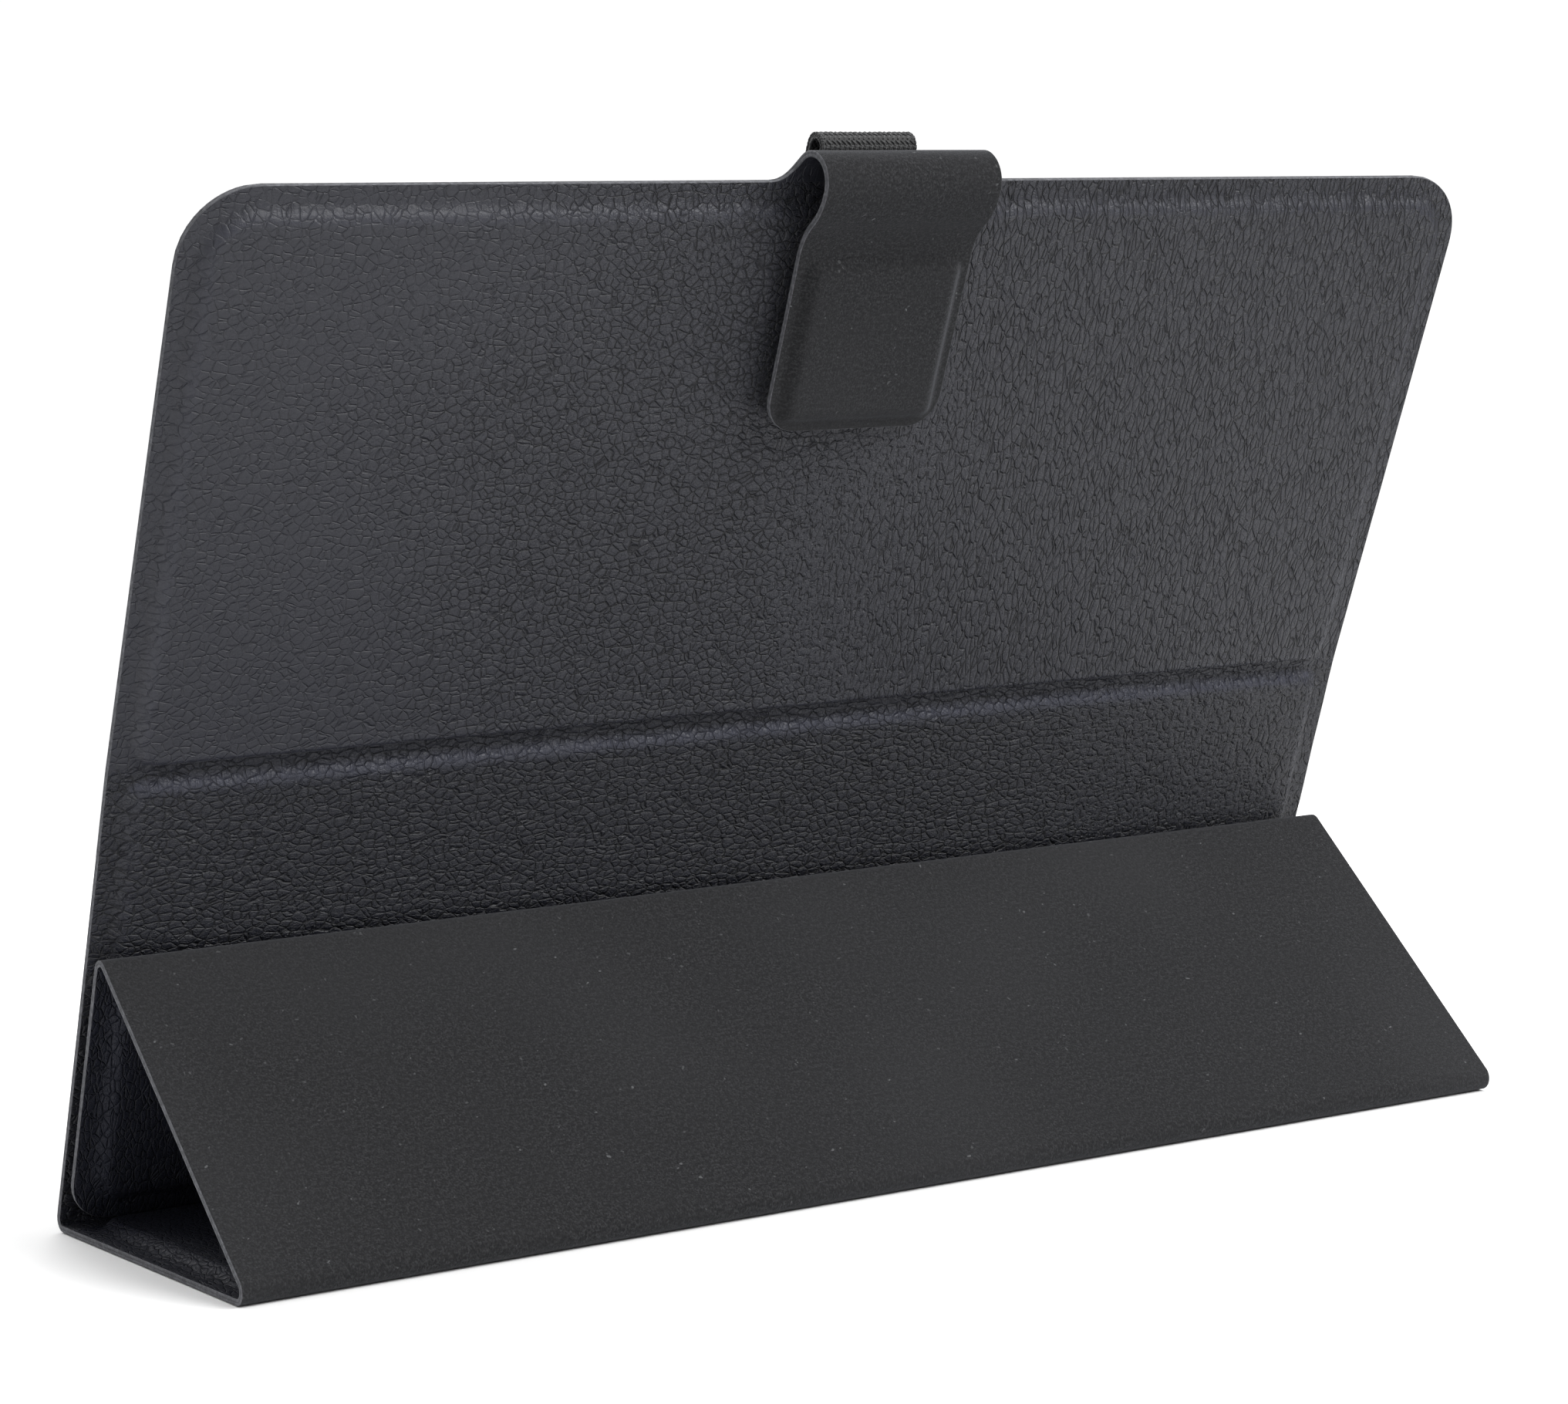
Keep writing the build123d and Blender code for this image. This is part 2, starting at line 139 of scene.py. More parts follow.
class CaseColours(bpy.types.PropertyGroup):
    leather: colour("Leather", "Grained skin", (0.0165, 0.0173, 0.0240))
    # painted shade: the same leather in a deeper tint, for the lower back and inside the stand, where less
    # light reaches
    leather_low_painted_shade: colour(
        "Leather, lower", "Grained skin of the lower back and inside the stand", (0.0088, 0.0095, 0.0150))
    microfibre: colour("Microfibre", "Lining", (0.0228, 0.0230, 0.0242))
    cut_edge: colour("Cut edge", "Bare laminate at a cut edge", (0.105, 0.107, 0.118))
    elastic: colour("Elastic", "Woven elastic", (0.031, 0.032, 0.034))
    board: colour("Board", "Grey board", (0.12, 0.12, 0.12))
    steel: colour("Steel", "Magnets and keeper plates", (0.6, 0.6, 0.6))
    tape: colour("Tape", "Bonding tape", (0.55, 0.52, 0.45))
    floor: colour("Floor", "Floor and backdrop", (0.93, 0.93, 0.93))


class StageSettings(bpy.types.PropertyGroup):
    camera_place: bpy.props.FloatVectorProperty(
        name="Camera", description="Where the camera stands", default=(-0.38456, -0.59243, 0.14371),
        subtype="TRANSLATION", unit="LENGTH")
    turn: number("Turn", "Camera's heading, from straight ahead", radians(32.715), subtype="ANGLE")
    tip: number("Tip", "How far the camera looks down", radians(4.891), subtype="ANGLE")
    roll: number("Roll", "Camera's roll", radians(-2.113), subtype="ANGLE")
    lens: number("Lens", "Focal length in millimetres", 90.58, min=1.0)
    ambient: number("Ambient", "Brightness of the room", 0.30, min=0.0)
    key: number("Key", "Power of the large soft light", 21.0, min=0.0, unit="POWER")
    fill: number("Fill", "Power of the soft light on the left", 1.2, min=0.0, unit="POWER")
    back: number("Back", "Power of the soft light behind", 15.0, min=0.0, unit="POWER")


SETTINGS = {
    "case_sizes": CaseSizes, "case_strap": StrapSizes, "case_loop": LoopSizes, "case_carrier": CarrierSizes,
    "case_colours": CaseColours, "case_stage": StageSettings,
}

PANEL_BODIES = {
    "flap": "flap", "riser": "riser", "base": "base", "lower": "back_lower", "upper": "back_upper",
}
FOLDS = {
    "top_fold": ("flap", "riser"), "front_fold": ("riser", "base"), "base_hinge": ("base", "spine"),
    "back_hinge": ("spine", "back_lower"), "crease": ("back_lower", "back_upper"),
}


# ---- flat runs and bends of the laminate, seen from the side ------------------------------------
class Path:
    """The lining's surface followed along the case, as straight runs and bends across the width.

    Points are (y, z). out points to the grained side. flat is the distance along the opened case.
    """

    def __init__(self, origin, along, out, flat=0.0, middle=0.0):
        self.at, self.along, self.out = np.array(origin, float), np.array(along, float), np.array(out, float)
        self.flat, self.middle, self.runs, self.length = flat, middle, [], 0.0

    def straight(self, run):
        self._add(run, 0.0)
        return self

    def bend(self, radius, turn):
        """Turns towards the grained side, or towards the lining if the turn is negative."""
        curve = (1 if turn > 0 else -1) / radius
        self._add(abs(turn) * radius, curve)
        return self

    def _add(self, run, curve):
        self.runs.append((self.length, self.at, self.along, self.out, curve, self.flat))
        place, along, out = self._inside(self.runs[-1], np.array([run]))
        self.at, self.along, self.out = place[0], along[0], out[0]
        self.length += run
        self.flat += run * (1 - curve * self.middle)

    @staticmethod
    def _inside(found, beyond):
        """Places and directions at the given distances beyond the start of one run or bend."""
        _, at, along, out, curve, _ = found
        beyond = beyond[:, None]
        angle = beyond * curve
        turned_along = along * np.cos(angle) + out * np.sin(angle)
        turned_out = out * np.cos(angle) - along * np.sin(angle)
        if curve == 0:
            return at + along * beyond, turned_along, turned_out
        return at + out / curve - turned_out / curve, turned_along, turned_out

    def points(self, s):
        """Places, directions along and outward, and flat distances, for each distance from the start."""
        s = np.atleast_1d(np.asarray(s, float))
        place, along, out = np.zeros((len(s), 2)), np.zeros((len(s), 2)), np.zeros((len(s), 2))
        flat = np.zeros(len(s))
        for found in self.runs:
            start, *_, curve, flat_start = found
            mine = s >= start - 1e-9
            beyond = np.clip(s[mine] - start, 0, None)
            place[mine], along[mine], out[mine] = self._inside(found, beyond)
            flat[mine] = flat_start + beyond * (1 - curve * self.middle)
        return place, along, out, flat

    def end_of(self, s):
        """A point on the path as (0, y, z)."""
        y, z = self.points([s])[0][0]
        return 0.0, float(y), float(z)

    def onward(self):
        """A new path from the end of this one."""
        return Path(self.at, self.along, self.out, self.flat, self.middle)


def mesh_points(node):
    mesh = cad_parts[node].data
    co = np.empty(len(mesh.vertices) * 3)
    mesh.vertices.foreach_get("co", co)
    return co.reshape(-1, 3)


def half_width(node="base_skin"):
    return mesh_points(node)[:, 0].max()


def flat_place(node, towards):
    """Start, directions along and outward, and length of a flat panel, from its lining's mesh."""
    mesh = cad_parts[node].data
    largest = max(mesh.polygons, key=lambda p: p.area)
    out = np.array(largest.normal)[1:]
    out /= np.linalg.norm(out)
    co = mesh_points(node)[:, 1:]
    if (mesh_points(towards)[:, 1:].mean(0) - co.mean(0)) @ out < 0:
        out = -out
    along = np.array([out[1], -out[0]])
    return along * (co @ along).min() + out * (co @ out).min(), along, out, float(np.ptp(co @ along))


def joined(first, second, middle, flat):
    """Path of the bend from the end of one flat panel to the start of the next."""
    origin, along, out, run = first
    start = origin + along * run
    turn = atan2(out @ second[1], along @ second[1]) % (2 * pi)
    chord = np.linalg.norm(second[0] - start)
    return Path(start, along, out, flat, middle).bend(chord / (2 * sin(turn / 2)), turn)


def run_paths():
    """Every panel's and fold's path, in order along the case."""
    sizes, strap = bpy.context.scene.case_sizes, bpy.context.scene.case_strap
    middle = (sizes.skin + sizes.lining) / 2
    places = {name: flat_place(name + "_lining", name + "_skin") for name in PANEL_BODIES}
    found, flat = {}, 0.0

    def panel(name):
        nonlocal flat
        origin, along, out, run = places[name]
        found[name] = Path(origin, along, out, flat, middle).straight(run)
        flat = found[name].flat

    def fold(name, before, after):
        nonlocal flat
        found[name] = joined(places[before], places[after], middle, flat)
        flat = found[name].flat

    panel("flap")
    fold("top_fold", "flap", "riser")
    panel("riser")
    fold("front_fold", "riser", "base")
    panel("base")
    # the soft spine: a flat foot, a bend in three equal parts, and a flat heel
    (_, along, _, _), (heel_end, back_along, _, _) = places["base"], places["lower"]
    turn = acos(float(along @ back_along))
    corner_run = np.linalg.solve(np.array([along, -back_along]).T, heel_end - found["base"].at)
    tangent = sizes.spine_radius * np.tan(turn / 2)
    foot = found["base"].onward().straight(float(corner_run[0]) - tangent)
    found["base_hinge"] = foot.bend(sizes.spine_radius, turn / 3)
    found["spine"] = found["base_hinge"].onward().bend(sizes.spine_radius, turn / 3)
    heel = found["spine"].onward().bend(sizes.spine_radius, turn / 3)
    found["back_hinge"] = heel.straight(float(-corner_run[1]) - tangent)
    flat = found["back_hinge"].flat
    panel("lower")
    fold("crease", "lower", "upper")
    panel("upper")
    # the strap: rise, fold in three parts, two easing bends and the pad
    soft, bridge = radians(75), radians(30)
    found["strap_root"] = found["upper"].onward().straight(strap.rise).bend(strap.radius, soft)
    found["strap_bridge"] = found["strap_root"].onward().bend(strap.radius, bridge)
    tip = found["strap_bridge"].onward().bend(strap.radius, soft)
    found["strap_bend"] = tip
    co = mesh_points("strap_tongue_skin")[:, 1:]
    reach = (co @ tip.along).max() - strap.pad - tip.at @ tip.along
    depth = (co @ tip.out).max() - sizes.skin - sizes.lining - tip.at @ tip.out
    ease = 2 * atan2(depth, reach)
    radius = reach / (2 * sin(ease))
    found["tongue"] = tip.onward().bend(radius, ease).bend(radius, -ease).straight(strap.pad)
    return found


# ---- mesh lines, relief and closed sheets -------------------------------------------------------
def graded(run, fine0, fine1, step, growth=1.22):
    """Mesh lines from 0 to run: fine at the ends, and a step apart in the middle."""

    def ramp(fine):
        out, gap = [0.0], fine
        while gap < step and out[-1] + gap < run * 0.45:
            out.append(out[-1] + gap)
            gap *= growth
        return np.array(out)

    low, high = ramp(fine0), run - ramp(fine1)[::-1]
    count = max(int(round((high[0] - low[-1]) / step)), 1)
    return np.concatenate([low[:-1], np.linspace(low[-1], high[0], count + 1), high[1:]])


def wander(x, y, cell_x, cell_y, seed):
    """Smooth noise between -1 and 1, with a fixed seed."""
    grid = np.random.default_rng(seed).random((NOISE_GRID, NOISE_GRID)) * 2 - 1
    u, w = x / cell_x + NOISE_GRID / 2, y / cell_y + NOISE_GRID / 2
    i, j = np.floor(u).astype(int), np.floor(w).astype(int)
    fu, fw = u - i, w - j
    fu, fw = fu * fu * (3 - 2 * fu), fw * fw * (3 - 2 * fw)

    def at(a, b):
        return grid[a % NOISE_GRID, b % NOISE_GRID]

    return ((at(i, j) * (1 - fu) + at(i + 1, j) * fu) * (1 - fw)
            + (at(i, j + 1) * (1 - fu) + at(i + 1, j + 1) * fu) * fw)


def smooth(t):
    t = np.clip(t, 0, 1)
    return t * t * (3 - 2 * t)


def raised(x, s, half, run, ends, side, corners, round_over):
    """Height of a board's rise, from 0 to 1, and how near a point is to its rounded upper edge."""
    side_edge, side_slope = side
    (edge0, slope0), (edge1, slope1) = ends
    far = s > run / 2
    radius = np.where(far, corners[1], corners[0])
    end_slope = np.where(far, slope1, slope0)
    dx = half - side_edge - np.abs(x)
    ds = np.where(far, run - edge1 - s, s - edge0)
    out_x, out_s = radius - dx, radius - ds
    in_corner = (out_x > 0) & (out_s > 0)
    share = out_x ** 2 / np.maximum(out_x ** 2 + out_s ** 2, 1e-12)
    nearest_side = dx < ds
    depth = np.where(in_corner, radius - np.hypot(out_x, out_s), np.minimum(dx, ds))
    slope = np.where(in_corner, side_slope * share + end_slope * (1 - share),
                     np.where(nearest_side, side_slope, end_slope))
    q = np.clip(depth / (slope + round_over), 0, 1)
    steep = np.sqrt(np.maximum(1 - (1 - q) ** 2, 0))
    gentle = smooth(q)
    soft = np.clip((slope - SHARP_SLOPE) / (GENTLE_SLOPE - SHARP_SLOPE), 0, 1)
    height = steep * (1 - soft) + gentle * soft
    shoulder = np.exp(-((depth - slope) / SHOULDER) ** 2)
    return height, shoulder, depth


def mesh_piece(name, verts, faces, *materials):
    """Smooth-shaded object from arrays of points and faces."""
    mesh = bpy.data.meshes.new(name)
    mesh.from_pydata(verts.tolist(), [], faces.tolist())
    for material in materials:
        mesh.materials.append(material)
    mesh.polygons.foreach_set("use_smooth", np.ones(len(faces), bool))
    piece = bpy.data.objects.new(name, mesh)
    bpy.context.scene.collection.objects.link(piece)
    return piece


def grid_edges(rows, cols):
    """A grid's point numbers, the four corners of each of its squares, and the loop around it."""
    index = np.arange(rows * cols).reshape(rows, cols)
    squares = [part.ravel() for part in (index[:-1, :-1], index[:-1, 1:], index[1:, 1:], index[1:, :-1])]
    loop = np.concatenate([index[0, :-1], index[:-1, -1], index[-1, :0:-1], index[:0:-1, 0]])
    return index, np.stack(squares, 1), loop


def sheet(name, path, s_lines, x_lines, surfaces, materials, exposed=(False, False), half=None, shift=0.0,
          extra=None, rim=None):
    """Closed sheet between two surfaces, laid along a path.

    surfaces(x, s) gives the heights of its grained and lining sides. half(s) gives the half width at
    s where the outline isn't straight. exposed says which ends are cut edges, which bulge a little.
    The second of two materials is for the cut edges. extra(x, s) gives the attributes of the skin.
    """
    rim = bpy.context.scene.case_sizes.rim if rim is None else rim
    widest = np.abs(x_lines).max()
    place, along, out, flat = path.points(s_lines)
    narrow = np.array([half(s) / widest for s in s_lines]) if half else np.ones(len(s_lines))
    x = x_lines[None, :] * narrow[:, None]
    s = np.repeat(s_lines[:, None], len(x_lines), 1)
    high, low = surfaces(x, s)
    rows, cols = x.shape

    def lay(n):
        co = np.empty((rows, cols, 3))
        co[..., 0] = x + shift
        co[..., 1:] = place[:, None, :] + out[:, None, :] * n[..., None]
        return co.reshape(-1, 3)

    top, bottom = lay(high), lay(low)
    index, squares, loop = grid_edges(rows, cols)
    # outward directions of the rim, in the sheet's own plane
    flat_xy = np.stack([x, s], -1).reshape(-1, 2)[loop]
    forward = np.roll(flat_xy, -1, 0) - np.roll(flat_xy, 1, 0)
    forward /= np.maximum(np.linalg.norm(forward, axis=1), 1e-12)[:, None]
    outward = np.stack([forward[:, 1], -forward[:, 0]], -1)
    on_start, on_end = loop < cols, loop >= (rows - 1) * cols
    corner = np.isin(loop, [index[0, 0], index[0, -1], index[-1, 0], index[-1, -1]])
    for here, bare in ((on_start, exposed[0]), (on_end, exposed[1])):
        if not bare:
            outward[here & ~corner] = 0
            outward[here & corner, 1] = 0
            outward[here & corner, 0] = np.sign(flat_xy[here & corner, 0])
    away = np.concatenate([outward[:, :1], along[loop // cols] * outward[:, 1:]], 1)
    rings = [top[loop] * (1 - f) + bottom[loop] * f + away * rim * np.sin(pi * f) ** 0.6 for f in RIM_STEPS]
    verts = np.concatenate([top, bottom, *rings])
    count = rows * cols
    numbers = 2 * count + np.arange(len(rings) * len(loop)).reshape(len(rings), -1)
    around = [loop, *numbers, loop + count]
    rim_faces = [np.stack([p, q, np.roll(q, -1), np.roll(p, -1)], 1) for p, q in zip(around, around[1:])]
    faces = np.concatenate([squares, squares[:, ::-1] + count] + rim_faces)
    piece = mesh_piece(name, verts, faces, *materials)
    mesh = piece.data
    slots = np.zeros(len(faces), int)
    slots[2 * len(squares):] = len(materials) - 1
    mesh.polygons.foreach_set("material_index", slots)
    # unrolled map, in metres, so the grain runs on over the folds
    plan = np.stack([x + shift, np.repeat(flat[:, None], cols, 1)], -1).reshape(-1, 2)
    plan = np.concatenate([plan, plan] + [plan[loop]] * len(rings))
    corners = np.empty(len(mesh.loops), int)
    mesh.loops.foreach_get("vertex_index", corners)
    mesh.uv_layers.new(name="unrolled").data.foreach_set("uv", plan[corners].astype(np.float32).ravel())
    for key, values in (extra(x, s) if extra else {}).items():
        values = values.reshape(-1)
        values = np.concatenate([values, values] + [values[loop]] * len(rings))
        mesh.attributes.new(key, "FLOAT", "POINT").data.foreach_set("value", values.astype(np.float32))
    mesh.set_sharp_from_angle(angle=radians(48))
    return piece


def mirrored(run, fine, step):
    """Mesh lines across the width, the same on both sides of the middle."""
    lines = graded(run, step, fine, step)
    return np.concatenate([-lines[:0:-1], lines])


# ---- materials ----------------------------------------------------------------------------------
def wire(tree, kind, settings=None, inputs=None):
    """New node with its settings, and its inputs set to values or linked to sockets."""
    made = tree.nodes.new(kind)
    for key, value in (settings or {}).items():
        setattr(made, key, value)
    for key, value in (inputs or {}).items():
        if isinstance(value, bpy.types.NodeSocket):
            tree.links.new(value, made.inputs[key])
        else:
            made.inputs[key].default_value = value
    return made


class Finish:
    """A procedural material, built node by node."""

    def __init__(self, name, roughness=0.6, specular=0.5):
        self.material = bpy.data.materials.new(name)
        self.material.use_nodes = True
        self.tree = self.material.node_tree
        self.shader = next(n for n in self.tree.nodes if n.type == "BSDF_PRINCIPLED")
        self.shader.inputs["Roughness"].default_value = roughness
        self.shader.inputs["Specular IOR Level"].default_value = specular

    def node(self, kind, settings=None, **inputs):
        inputs = {key.replace("_", " "): value for key, value in inputs.items()}
        return wire(self.tree, kind, settings, inputs)

    def math(self, operation, a, b=0.0, c=0.0):
        return wire(self.tree, "ShaderNodeMath", {"operation": operation}, {0: a, 1: b, 2: c}).outputs[0]

    def vector(self, operation, a, b):
        return wire(self.tree, "ShaderNodeVectorMath", {"operation": operation}, {0: a, 1: b}).outputs[0]

    def span(self, value, low, high, to_low=0.0, to_high=1.0):
        return self.node("ShaderNodeMapRange", {"interpolation_type": "SMOOTHSTEP"}, Value=value,
                         From_Min=low, From_Max=high, To_Min=to_low, To_Max=to_high).outputs[0]

    def mix(self, share, a, b):
        """Colour between a and b."""
        a, b = (one if isinstance(one, bpy.types.NodeSocket) else (*one, 1.0) for one in (a, b))
        return wire(self.tree, "ShaderNodeMix", {"data_type": "RGBA"}, {0: share, 6: a, 7: b}).outputs[2]

    def blend(self, share, a, b):
        """Number between a and b."""
        return self.math("MULTIPLY_ADD", self.math("SUBTRACT", b, a), share, a)

    def place(self, scale, turn=0.0, own=False):
        """Coordinates scaled per metre: the unrolled map, or the object's own."""
        if own:
            source = self.node("ShaderNodeTexCoord").outputs["Object"]
        else:
            source = self.node("ShaderNodeUVMap", {"uv_map": "unrolled"}).outputs[0]
        return self.node("ShaderNodeMapping", {"vector_type": "POINT"}, Vector=source, Scale=scale,
                         Rotation=(0, 0, turn)).outputs[0]

    def noise(self, place, scale=1.0, detail=2.0, roughness=0.5):
        return self.node("ShaderNodeTexNoise", Vector=place, Scale=scale, Detail=detail,
                         Roughness=roughness).outputs[0]

    def warp(self, place, scale, amount):
        """Coordinates pushed about by a slow noise."""
        pushed = self.node("ShaderNodeTexNoise", Vector=place, Scale=scale, Detail=2.0).outputs["Color"]
        centred = self.vector("SUBTRACT", pushed, (0.5, 0.5, 0.5))
        return self.vector("ADD", place, self.vector("MULTIPLY", centred, (amount, amount, amount)))

    def cells(self, place, feature="DISTANCE_TO_EDGE"):
        made = self.node("ShaderNodeTexVoronoi", {"feature": feature}, Vector=place, Scale=1.0)
        return made.outputs["Distance"]

    def attribute(self, name):
        return self.node("ShaderNodeAttribute", {"attribute_name": name}).outputs["Fac"]

    def bump(self, height, distance):
        return self.node("ShaderNodeBump", Height=height, Distance=distance).outputs[0]

    def finish(self, tint, normal=None, roughness=None):
        for key, value in (("Base Color", tint), ("Normal", normal), ("Roughness", roughness)):
            if value is not None:
                self.tree.links.new(value, self.shader.inputs[key])
        return self.material


def scaled(tint, factor):
    return tuple(min(c * factor, 1.0) for c in tint)


def leather(name, tint, upright, even, wave, line, depth, specular=0.42):
    """Grained skin: broken creases round soft cells, with painted shade in the creases and a painted
    highlight on rounded edges.

    upright and even are the width and length of the two kinds of cell, which the piece's own
    "upright" attribute mixes. wave is how far the creases wander, line their share of a cell, and
    depth the relief in metres.
    """
    f = Finish(name, 0.5, specular)

    def crazed(cell, turn):
        plan = f.place((1 / cell[0], 1 / cell[1], 1.0), turn)
        wavy = f.warp(f.warp(plan, 1.1, wave), 0.20, wave * 4.0)
        return f.cells(wavy), f.span(f.noise(wavy, 0.6, 3.0), 0.38, 0.60)

    share = f.attribute("upright")
    (tall, tall_breaks), (round_edge, round_breaks) = crazed(upright, 0.06), crazed(even, -0.12)
    edge = f.blend(share, round_edge, tall)
    breaks = f.blend(share, round_breaks, tall_breaks)
    broken = f.math("MULTIPLY_ADD", breaks, 0.6, 0.4)
    creases = f.math("MULTIPLY", f.span(edge, 0.0, line, 1.0, 0.0), broken)
    small = f.cells(f.warp(f.place((2.2 / even[0], 2.2 / even[1], 1.0), 0.6), 1.0, wave * 1.5))
    fine = f.math("MULTIPLY", f.span(small, 0.0, line, 1.0, 0.0), 0.15)
    pebble = f.span(edge, 0.0, 0.30)
    pores = f.noise(f.place((3800, 3800, 1.0)), 1.0, 3.0)
    amount = f.attribute("grain")
    painted_highlight_mask = f.attribute("worn")
    wrinkle = f.attribute("wrinkle")
    height = f.math("MULTIPLY_ADD", pebble, 0.18, f.math("MULTIPLY", creases, -1.0))
    height = f.math("SUBTRACT", height, fine)
    height = f.math("MULTIPLY_ADD", pores, 0.15, height)
    height = f.math("MULTIPLY", height, amount)
    ripples = f.noise(f.warp(f.place((1 / 0.0010, 1 / 0.0045, 1.0)), 0.8, 1.4), 1.0, 2.0)
    height = f.math("MULTIPLY_ADD", f.math("MULTIPLY", ripples, wrinkle), 0.9, height)
    normal = f.bump(height, depth)
    drift = f.noise(f.place((16, 16, 1.0)), 1.0, 2.0)
    # painted shade: the creases and the small cells' edges are painted nearly black, as if in shadow, and
    # made a little rougher
    painted_crease_shade = f.math("MULTIPLY", f.math("MULTIPLY_ADD", creases, 0.6, fine), amount)
    tone = f.mix(painted_crease_shade, tint, scaled(tint, 0.12))
    tone = f.mix(f.math("MULTIPLY", drift, 0.25), tone, scaled(tint, 0.8))
    # painted highlight: a lighter tint on the boards' rounded upper edges and along the crease, where light
    # catches them
    painted_highlight_share = f.math("MULTIPLY", painted_highlight_mask, f.math("MULTIPLY_ADD", ripples, 0.7, 0.25))
    tone = f.mix(painted_highlight_share, tone, scaled(tint, 3.0))
    rough = f.math("MULTIPLY_ADD", painted_crease_shade, 0.25, f.math("MULTIPLY_ADD", pores, 0.1, 0.42))
    return f.finish(tone, normal, rough)


LINT = (0.16, 0.165, 0.17)


def microfibre(name, tint):
    """Brushed lining: short pile, cloudy nap and a few specks of lint."""
    f = Finish(name, 0.95, 0.12)
    f.shader.inputs["Sheen Weight"].default_value = 0.18
    f.shader.inputs["Sheen Roughness"].default_value = 0.45
    f.shader.inputs["Sheen Tint"].default_value = (0.5, 0.52, 0.58, 1.0)
    pile = f.noise(f.place((2900, 2500, 1.0)), 1.0, 4.0, 0.7)
    tufts = f.noise(f.warp(f.place((1150, 1500, 1.0)), 1.0, 0.8), 1.0, 3.0, 0.6)
    nap = f.noise(f.warp(f.place((70, 110, 1.0)), 1.0, 1.0), 1.0, 3.0)
    cloud = f.noise(f.place((14, 14, 1.0)), 1.0, 1.0)
    tone = f.mix(f.span(pile, 0.34, 0.66), scaled(tint, 0.4), scaled(tint, 1.6))
    tone = f.mix(f.math("MULTIPLY", f.span(tufts, 0.42, 0.60), 0.7), tone, scaled(tint, 0.45))
    tone = f.mix(f.math("MULTIPLY", f.span(nap, 0.35, 0.7), 0.3), tone, scaled(tint, 0.75))
    tone = f.mix(f.math("MULTIPLY", f.span(cloud, 0.4, 0.65), 0.3), tone, scaled(tint, 1.25))
    for pitch, size, rarity, strength in ((260, 0.07, 0.56, 0.45), (430, 0.10, 0.52, 0.25)):
        specks = f.warp(f.place((pitch, pitch * 1.2, 1.0), 0.3), 1.2, 0.9)
        spots = f.math("LESS_THAN", f.cells(specks, "F1"), size)
        chosen = f.math("GREATER_THAN", f.noise(f.place((230, 230, 1.0), 0.4), 1.0, 1.0), rarity)
        lint = f.math("MULTIPLY", f.math("MULTIPLY", spots, chosen), strength)
        tone = f.mix(lint, tone, LINT)
    normal = f.bump(f.math("MULTIPLY_ADD", nap, 0.5, pile), 0.10 * MM)
    return f.finish(tone, normal)


def cut_edge(name, tint):
    """Bare laminate where it is cut: pale and felted, with dimmer patches here and there."""
    f = Finish(name, 0.75, 0.35)
    fluff = f.noise(f.place((1500, 1500, 1500), own=True), 1.0, 3.0)
    drift = f.noise(f.place((120, 120, 120), own=True), 1.0, 2.0)
    tone = f.mix(f.span(fluff, 0.3, 0.75), scaled(tint, 0.6), scaled(tint, 1.35))
    tone = f.mix(f.math("MULTIPLY", drift, 0.4), tone, scaled(tint, 0.6))
    return f.finish(tone, f.bump(fluff, 0.08 * MM))


def elastic(name, tint):
    """Yarn of the woven elastic, with the twist of its plies."""
    f = Finish(name, 0.62, 0.4)
    f.shader.inputs["Sheen Weight"].default_value = 0.25
    plies = f.node("ShaderNodeTexWave", {"bands_direction": "DIAGONAL"}, Vector=f.place((1, 1, 1), own=True),
                   Scale=900.0, Distortion=2.0, Detail=2.0).outputs["Fac"]
    drift = f.noise(f.place((600, 600, 600), own=True), 1.0, 2.0)
    tone = f.mix(plies, scaled(tint, 0.55), scaled(tint, 1.3))
    tone = f.mix(f.math("MULTIPLY", drift, 0.5), tone, scaled(tint, 0.6))
    return f.finish(tone, f.bump(plies, 0.05 * MM))


def solid_finish(name, tint, rough, specular, grain, relief, metal=0.0):
    """Plain hard finish with a grain of its own size, for parts sealed inside the panels."""
    f = Finish(name, rough, specular)
    f.shader.inputs["Metallic"].default_value = metal
    speck = f.noise(f.place(grain, own=True), 1.0, 4.0, 0.6)
    tone = f.mix(f.span(speck, 0.3, 0.7), scaled(tint, 0.8), scaled(tint, 1.12))
    return f.finish(tone, f.bump(speck, relief))


def pale_floor(name, tint):
    """Matt paper sweep, with a barely visible tooth."""
    f = Finish(name, 0.95, 0.1)
    tooth = f.noise(f.place((60, 60, 60), own=True), 1.0, 2.0)
    return f.finish(f.mix(tooth, scaled(tint, 0.99), tint))


finishes = {}


